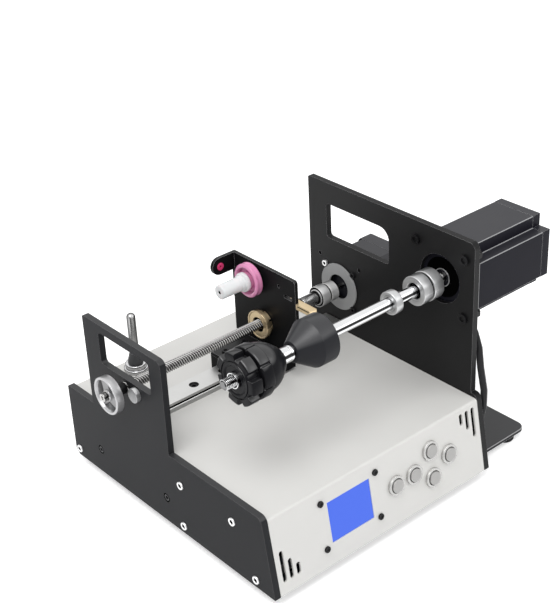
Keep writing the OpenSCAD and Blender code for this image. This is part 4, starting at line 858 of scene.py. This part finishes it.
def make_side_screws():
    """Heads on both plates' outer faces, and the traverse motor's on the right plate's
    inner face, of which the one that the photograph shows best is bright."""
    plate_low, plate_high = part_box("left_plate")
    inner, outer = (corner.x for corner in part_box("right_plate"))
    left_places = []
    right_places = []
    for low, high in islands("side_screws"):
        middle = (low + high) / 2
        if middle.x < plate_high.x + LEFT_REACH:
            left_places.append(Vector((plate_low.x, middle.y, middle.z)))
        else:
            right_places.append(Vector((outer, middle.y, middle.z)))
    to_left, to_right = (-1, 0, 0), (1, 0, 0)
    ring_screws("side_screws_left", ["side_screws"], left_places, to_left, SIDE_HEAD_MM,
                SCREW_BRIGHT)
    ring_screws("side_screws_right", (), right_places, to_right, SIDE_HEAD_MM, SCREW_BRIGHT)
    motor_places = [Vector((inner, (low.y + high.y) / 2, (low.z + high.z) / 2))
                    for low, high in islands("traverse_screws")]
    motor_places.sort(key=lambda place: place.y + place.z)
    ring_screws("traverse_screw_bright", ["traverse_screws"], motor_places[-1:], to_left,
                BRIGHT_HEAD_MM, SCREW_BRIGHT)
    # The other motor screws are black: painted shade
    ring_screws("traverse_screws_shaded", (), motor_places[:-1], to_left, SHADED_HEAD_MM,
                SCREW_BLACK)


# Wire guide

NUT_NOTCHES = 6


def make_guide():
    turned_node("guide_wheel", [
        (1.0, 2.6), (1.0, 6.4), (3.4, 6.7), (3.6, 9.4), (0.9, 10.2), (0, 10.9), (0, 12.4),
        (0.7, 13.3), (1.6, 13.4), (3.2, 12.9), (5.0, 13.4), (5.9, 13.3), (6.5, 12.6), (6.5, 9.6),
        (4.5, 8.4), (4.5, 2.6)],
        WHEEL_PINK, "wheel", 0.5, 2.56)
    turned_node("wheel_knob", [
        (4, 0), (4, 1.4), (0, 1.4), (0, 5.0), (0.5, 5.6), (18.2, 5.6), (18.8, 6.2), (21.5, 6.2),
        (21.5, 7.6), (24.5, 7.6), (24.5, 2.6), (7, 2.6), (7, 0)],
        KNOB_WHITE, "carriage", 0.5)
    turned("knob_hole_shade", [(0.5, 0), (0.5, 1.39), (0.7, 1.39), (0.7, 0)],
           left_face("wheel_knob"), SHADE, "carriage", (), SHADE_EDGE_MM,
           sides=SCREW_SIDES)
    # Painted shade: a darker pink ring deep in the wheel's recess
    turned("wheel_recess_shade", [(2.9, 9.3), (3.1, 9.3)], left_face("guide_wheel"), WHEEL_PINK_SHADED,
           "wheel", (), SHADE_EDGE_MM, 6.8)


def make_lead_nut():
    """A dished flange on a sleeve, and a notched ring behind a gap darkened by painted shade."""
    x0, x1 = span("lead_nut")
    face = left_face("lead_nut")
    flange = 3.5
    length = x1 - x0
    turned_node("lead_nut", [
        (2.4, THREAD_SEAT_MM), (2.4, 5.9), (0.5, 5.9), (0.5, 10.2), (0, 10.5), (0, 11.5),
        (flange, 11.5), (flange, 6.1), (flange + 0.1, 5.5), (length, 5.5),
        (length, THREAD_SEAT_MM)],
        BRASS, "carriage", 0.3, THREAD_BORE_MM)
    shade_ring("lead_nut_bore_shade", face, 1.5, 1.7, 5.85, 4.15, "carriage", SCREW_SIDES)
    core = round_at(5.6)

    def notched(inset):
        return lobed(9.6, 1.9, 0.40, 0.43, 0, inset, NUT_NOTCHES)

    start = x0 + flange + 0.7
    rings = [(start, core), (start, notched(0.3)), (start + 0.3, notched(0)),
             (start + 2.3, notched(0)), (start + 2.6, notched(0.3)), (start + 2.6, core)]
    bm = bmesh.new()
    add_rings(bm, rings, on_axis("lead_nut", 0), GRIP_SIDES)
    finish(bm, "lead_nut_ring", BRASS, "carriage")
    shade_ring("lead_nut_gap", face, flange + 0.02, flange + 0.68, 8.4, 5.6, "carriage")
    shade_ring("lead_nut_core", face, flange + 0.72, flange + 3.45, 8.0, 5.6, "carriage")


# Painted shade: black pieces where shade lies

def make_rail_grooves():
    """Painted shade: black lines in the rail's side grooves."""
    low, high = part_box("slide_rail")
    groove = 0.0012
    proud = 0.0002
    z = low.z + 0.6 * (high.z - low.z) - groove / 2
    bm = bmesh.new()
    for y in (low.y + proud, high.y - proud - groove):
        add_block(bm, (low.x, y, z), (high.x - low.x, groove, groove))
    finish(bm, "rail_groove_shade", SHADE, "base")


def make_finger_slit():
    """Shade that lies in the brass finger's slit."""
    low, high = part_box("wire_finger")
    corner = Vector((low.x + 0.0002, low.y + 0.0028, high.z - 0.00196))
    bm = bmesh.new()
    add_block(bm, corner, (0.0022, 0.012, 0.0007))
    finish(bm, "finger_slit_shade", SHADE, "carriage")


def make_sunk_rims():
    """Black rims of painted shade, and pale sockets, round the screws that are sunk in the
    left plate.
    """
    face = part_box("left_plate")[0].x
    sunk = 0.00039
    rims = bmesh.new()
    cups = bmesh.new()
    for low, high in islands("board_screws"):
        middle = (low + high) / 2
        place = axis_frame(Vector((face + sunk, middle.y, middle.z)), (-1, 0, 0))
        add_lathe(rims, ring_profile(2.6, [(0, 3.6), (0.34, 3.6)]), place, SCREW_SIDES)
        add_lathe(cups, ring_profile(1.6, [(0, 2.5), (0.2, 2.5)]), place, SCREW_SIDES)
    finish(rims, "sunk_rim_shade", SHADE, "base")
    finish(cups, "sunk_cups", SUNK_SCREW, "base")


def make_hole_shades():
    """A black ring of painted shade and a bright one round the spindle motor's shaft."""
    place = on_axis("spindle_rod", 0)
    place.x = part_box("spindle_caps")[0].x
    shade_ring("motor_hole_shade", place, -0.5, -0.3, 15.5, 7.2, "base")
    turned("motor_shaft_ring", [(-1.1, 7.1), (-0.5, 7.1)], place, ALUMINIUM, "base",
           (), 0.1, 6.4)


make_lead_screw()
make_spindle_rod()
make_spindle_rings()
make_screw_coupler()
make_nut_insert()
make_lock_nut()
make_clamp_cone()
make_handwheel()
make_wire_post()
make_side_screws()
make_guide()
make_lead_nut()
make_rail_grooves()
make_finger_slit()
make_sunk_rims()
make_hole_shades()

# CAD nodes that keep their own solids, by finish
PLAIN_FINISH = (
    (PLATE_BLACK, ("left_plate", "base_pan", "outrigger_plate")),
    (PLATE_SHADED, ("right_plate", "screw_bearing")),
    (SHEET_GREY, ("deck_cover", "rear_panel")),
    (ALUMINIUM, ("tie_bars", "plate_stud")),
    (RUBBER, ("rubber_feet",)),
    (RAIL_STEEL, ("slide_rail",)),
    (SCREW_BLACK, ("board_screws", "rail_screws", "display_screws", "power_inlet",
                   "spindle_motor_screws", "bracket_screws")),
    (DISPLAY, ("display_glass",)),
    (BOARD_GREEN, ("display_board", "driver_board")),
    (BEZEL_METAL, ("button_housings",)),
    (BUTTON_METAL, ("button_side", "button_left", "button_up", "button_down", "button_right")),
    (MOTOR_CAP, ("traverse_caps", "spindle_caps")),
    (MOTOR_STACK, ("traverse_stator", "spindle_stator")),
    (RING_GREY, ("traverse_ring",)),
    (CABLE, ("motor_cable",)),
    (STEEL, ("handwheel_screw", "traverse_rotor", "spindle_rotor", "wheel_axle")),
    (BRACKET_BLACK, ("carriage_block", "carriage_bracket")),
    (RUBY, ("wire_eyelet",)),
    (BRASS, ("wire_finger", "board_standoffs")),
)
# Nodes whose broken edges carry a faint or a bright painted highlight
FAINT_HIGHLIGHT_EDGED = ("left_plate", "carriage_block")
BRIGHT_HIGHLIGHT_EDGED = ("right_plate", "outrigger_plate", "carriage_bracket", "spindle_caps",
                "spindle_stator", "traverse_caps")
for coat, node_names in PLAIN_FINISH:
    for node_name in node_names:
        if node_name in BRIGHT_HIGHLIGHT_EDGED:
            dress(node_name, coat, BRIGHT_EDGE_MM, BRIGHT_EDGE_HIGHLIGHT)
        else:
            dress(node_name, coat, EDGE_MM, PLATE_EDGE_HIGHLIGHT if node_name in FAINT_HIGHLIGHT_EDGED else None)


# Floor, light and camera

FLOOR_SIZE = 8.0
FLOOR_GLOW = 0.45

# Place and colour of the sky's two stops, by height
SKY_STOPS = ((0.30, (0.30, 0.30, 0.31, 1)), (0.75, (0.85, 0.85, 0.85, 1)))

# Name, place, size and power of each lamp, and what they all look at
LAMPS = (("key_light", (-0.75, -0.4, 1.75), 1.1, 15),
         ("fill_light", (0.9, -1.2, 1.0), 1.2, 3.5))
LAMP_TARGET = (0, 0, 0.08)


def add_values(tree, first, second):
    """The sum of two values, at most 1."""
    node = tree.nodes.new("ShaderNodeMath")
    node.operation = "ADD"
    node.use_clamp = True
    tree.links.new(first, node.inputs[0])
    tree.links.new(second, node.inputs[1])
    return node.outputs["Value"]


def seen_ray(tree):
    """1 for rays that show the background itself: camera, mirror and glass rays."""
    path = tree.nodes.new("ShaderNodeLightPath")
    mirrored = add_values(tree, path.outputs["Is Camera Ray"], path.outputs["Is Glossy Ray"])
    return add_values(tree, mirrored, path.outputs["Is Transmission Ray"])


def make_stage():
    """A pale floor that glows for the rays that show it."""
    half = FLOOR_SIZE / 2
    mesh = bpy.data.meshes.new("floor")
    corners = [(-half, -half, 0), (half, -half, 0), (half, half, 0), (-half, half, 0)]
    mesh.from_pydata(corners, [], [(0, 1, 2, 3)])
    floor = bpy.data.objects.new("floor", mesh)
    bpy.context.scene.collection.objects.link(floor)
    material, tree, shader = new_material("floor_white")
    clouds = noise(tree, object_coords(tree), 2, 2)
    tree.links.new(two_tone(tree, clouds, (0.90, 0.90, 0.90), (0.92, 0.92, 0.92)),
                   shader.inputs["Base Color"])
    shader.inputs["Roughness"].default_value = 0.9
    shader.inputs["Specular IOR Level"].default_value = 0.1
    shader.inputs["Emission Color"].default_value = (1, 1, 1, 1)
    tree.links.new(remap(tree, seen_ray(tree), 0, FLOOR_GLOW), shader.inputs["Emission Strength"])
    mesh.materials.append(material)


def make_world():
    """A soft sky that lights the machine, and shows white."""
    world = bpy.data.worlds.new("studio")
    bpy.context.scene.world = world
    world.use_nodes = True
    tree = world.node_tree
    coords = tree.nodes.new("ShaderNodeTexCoord")
    ramp = tree.nodes.new("ShaderNodeValToRGB")
    for stop, (place, colour) in zip(ramp.color_ramp.elements, SKY_STOPS):
        stop.position = place
        stop.color = colour
    tree.links.new(upward_share(tree, coords.outputs["Generated"]), ramp.inputs["Fac"])
    mix = tree.nodes.new("ShaderNodeMix")
    mix.data_type = "RGBA"
    mix.inputs["B"].default_value = (1, 1, 1, 1)
    tree.links.new(ramp.outputs["Color"], mix.inputs["A"])
    tree.links.new(seen_ray(tree), mix.inputs["Factor"])
    tree.links.new(mix.outputs["Result"], tree.nodes["Background"].inputs["Color"])


def make_lamp(name, place, size, power):
    """A round soft lamp that looks at the machine."""
    light = bpy.data.lights.new(name, "AREA")
    light.shape = "DISK"
    light.size = size
    light.energy = power
    lamp = bpy.data.objects.new(name, light)
    bpy.context.scene.collection.objects.link(lamp)
    lamp.location = place
    look = Vector(LAMP_TARGET) - Vector(place)
    lamp.rotation_euler = look.to_track_quat("-Z", "Y").to_euler()


# Camera of the photograph, found by fitting the plates' corners
CAMERA_AZIMUTH = -0.69
CAMERA_ELEVATION = 0.51
CAMERA_ROLL = -0.05
CAMERA_DISTANCE_MM = 986.9
CAMERA_TARGET_MM = (124.02, 135.11, 124.53)
FOCAL_PIXELS = 1342.29
IMAGE_LONG_SIDE = 603
SENSOR_MM = 36.0
CLIP_NEAR_AND_FAR = (0.05, 20)


def make_camera():
    data = bpy.data.cameras.new("camera")
    data.sensor_width = SENSOR_MM
    data.sensor_fit = "AUTO"
    data.lens = FOCAL_PIXELS / IMAGE_LONG_SIDE * SENSOR_MM
    data.clip_start, data.clip_end = CLIP_NEAR_AND_FAR
    camera = bpy.data.objects.new("camera", data)
    bpy.context.scene.collection.objects.link(camera)
    forward = Vector((-math.sin(CAMERA_AZIMUTH) * math.cos(CAMERA_ELEVATION),
                      math.cos(CAMERA_AZIMUTH) * math.cos(CAMERA_ELEVATION),
                      -math.sin(CAMERA_ELEVATION)))
    level = forward.cross(Vector((0, 0, 1))).normalized()
    upright = level.cross(forward)
    right = level * math.cos(CAMERA_ROLL) + upright * math.sin(CAMERA_ROLL)
    up = upright * math.cos(CAMERA_ROLL) - level * math.sin(CAMERA_ROLL)
    matrix = Matrix((right, up, -forward)).transposed().to_4x4()
    matrix.translation = at(*CAMERA_TARGET_MM) - forward * CAMERA_DISTANCE_MM * MM
    camera.matrix_world = matrix
    bpy.context.scene.camera = camera


make_stage()
make_world()
for lamp_values in LAMPS:
    make_lamp(*lamp_values)
make_camera()
bpy.context.scene.view_settings.view_transform = "Standard"
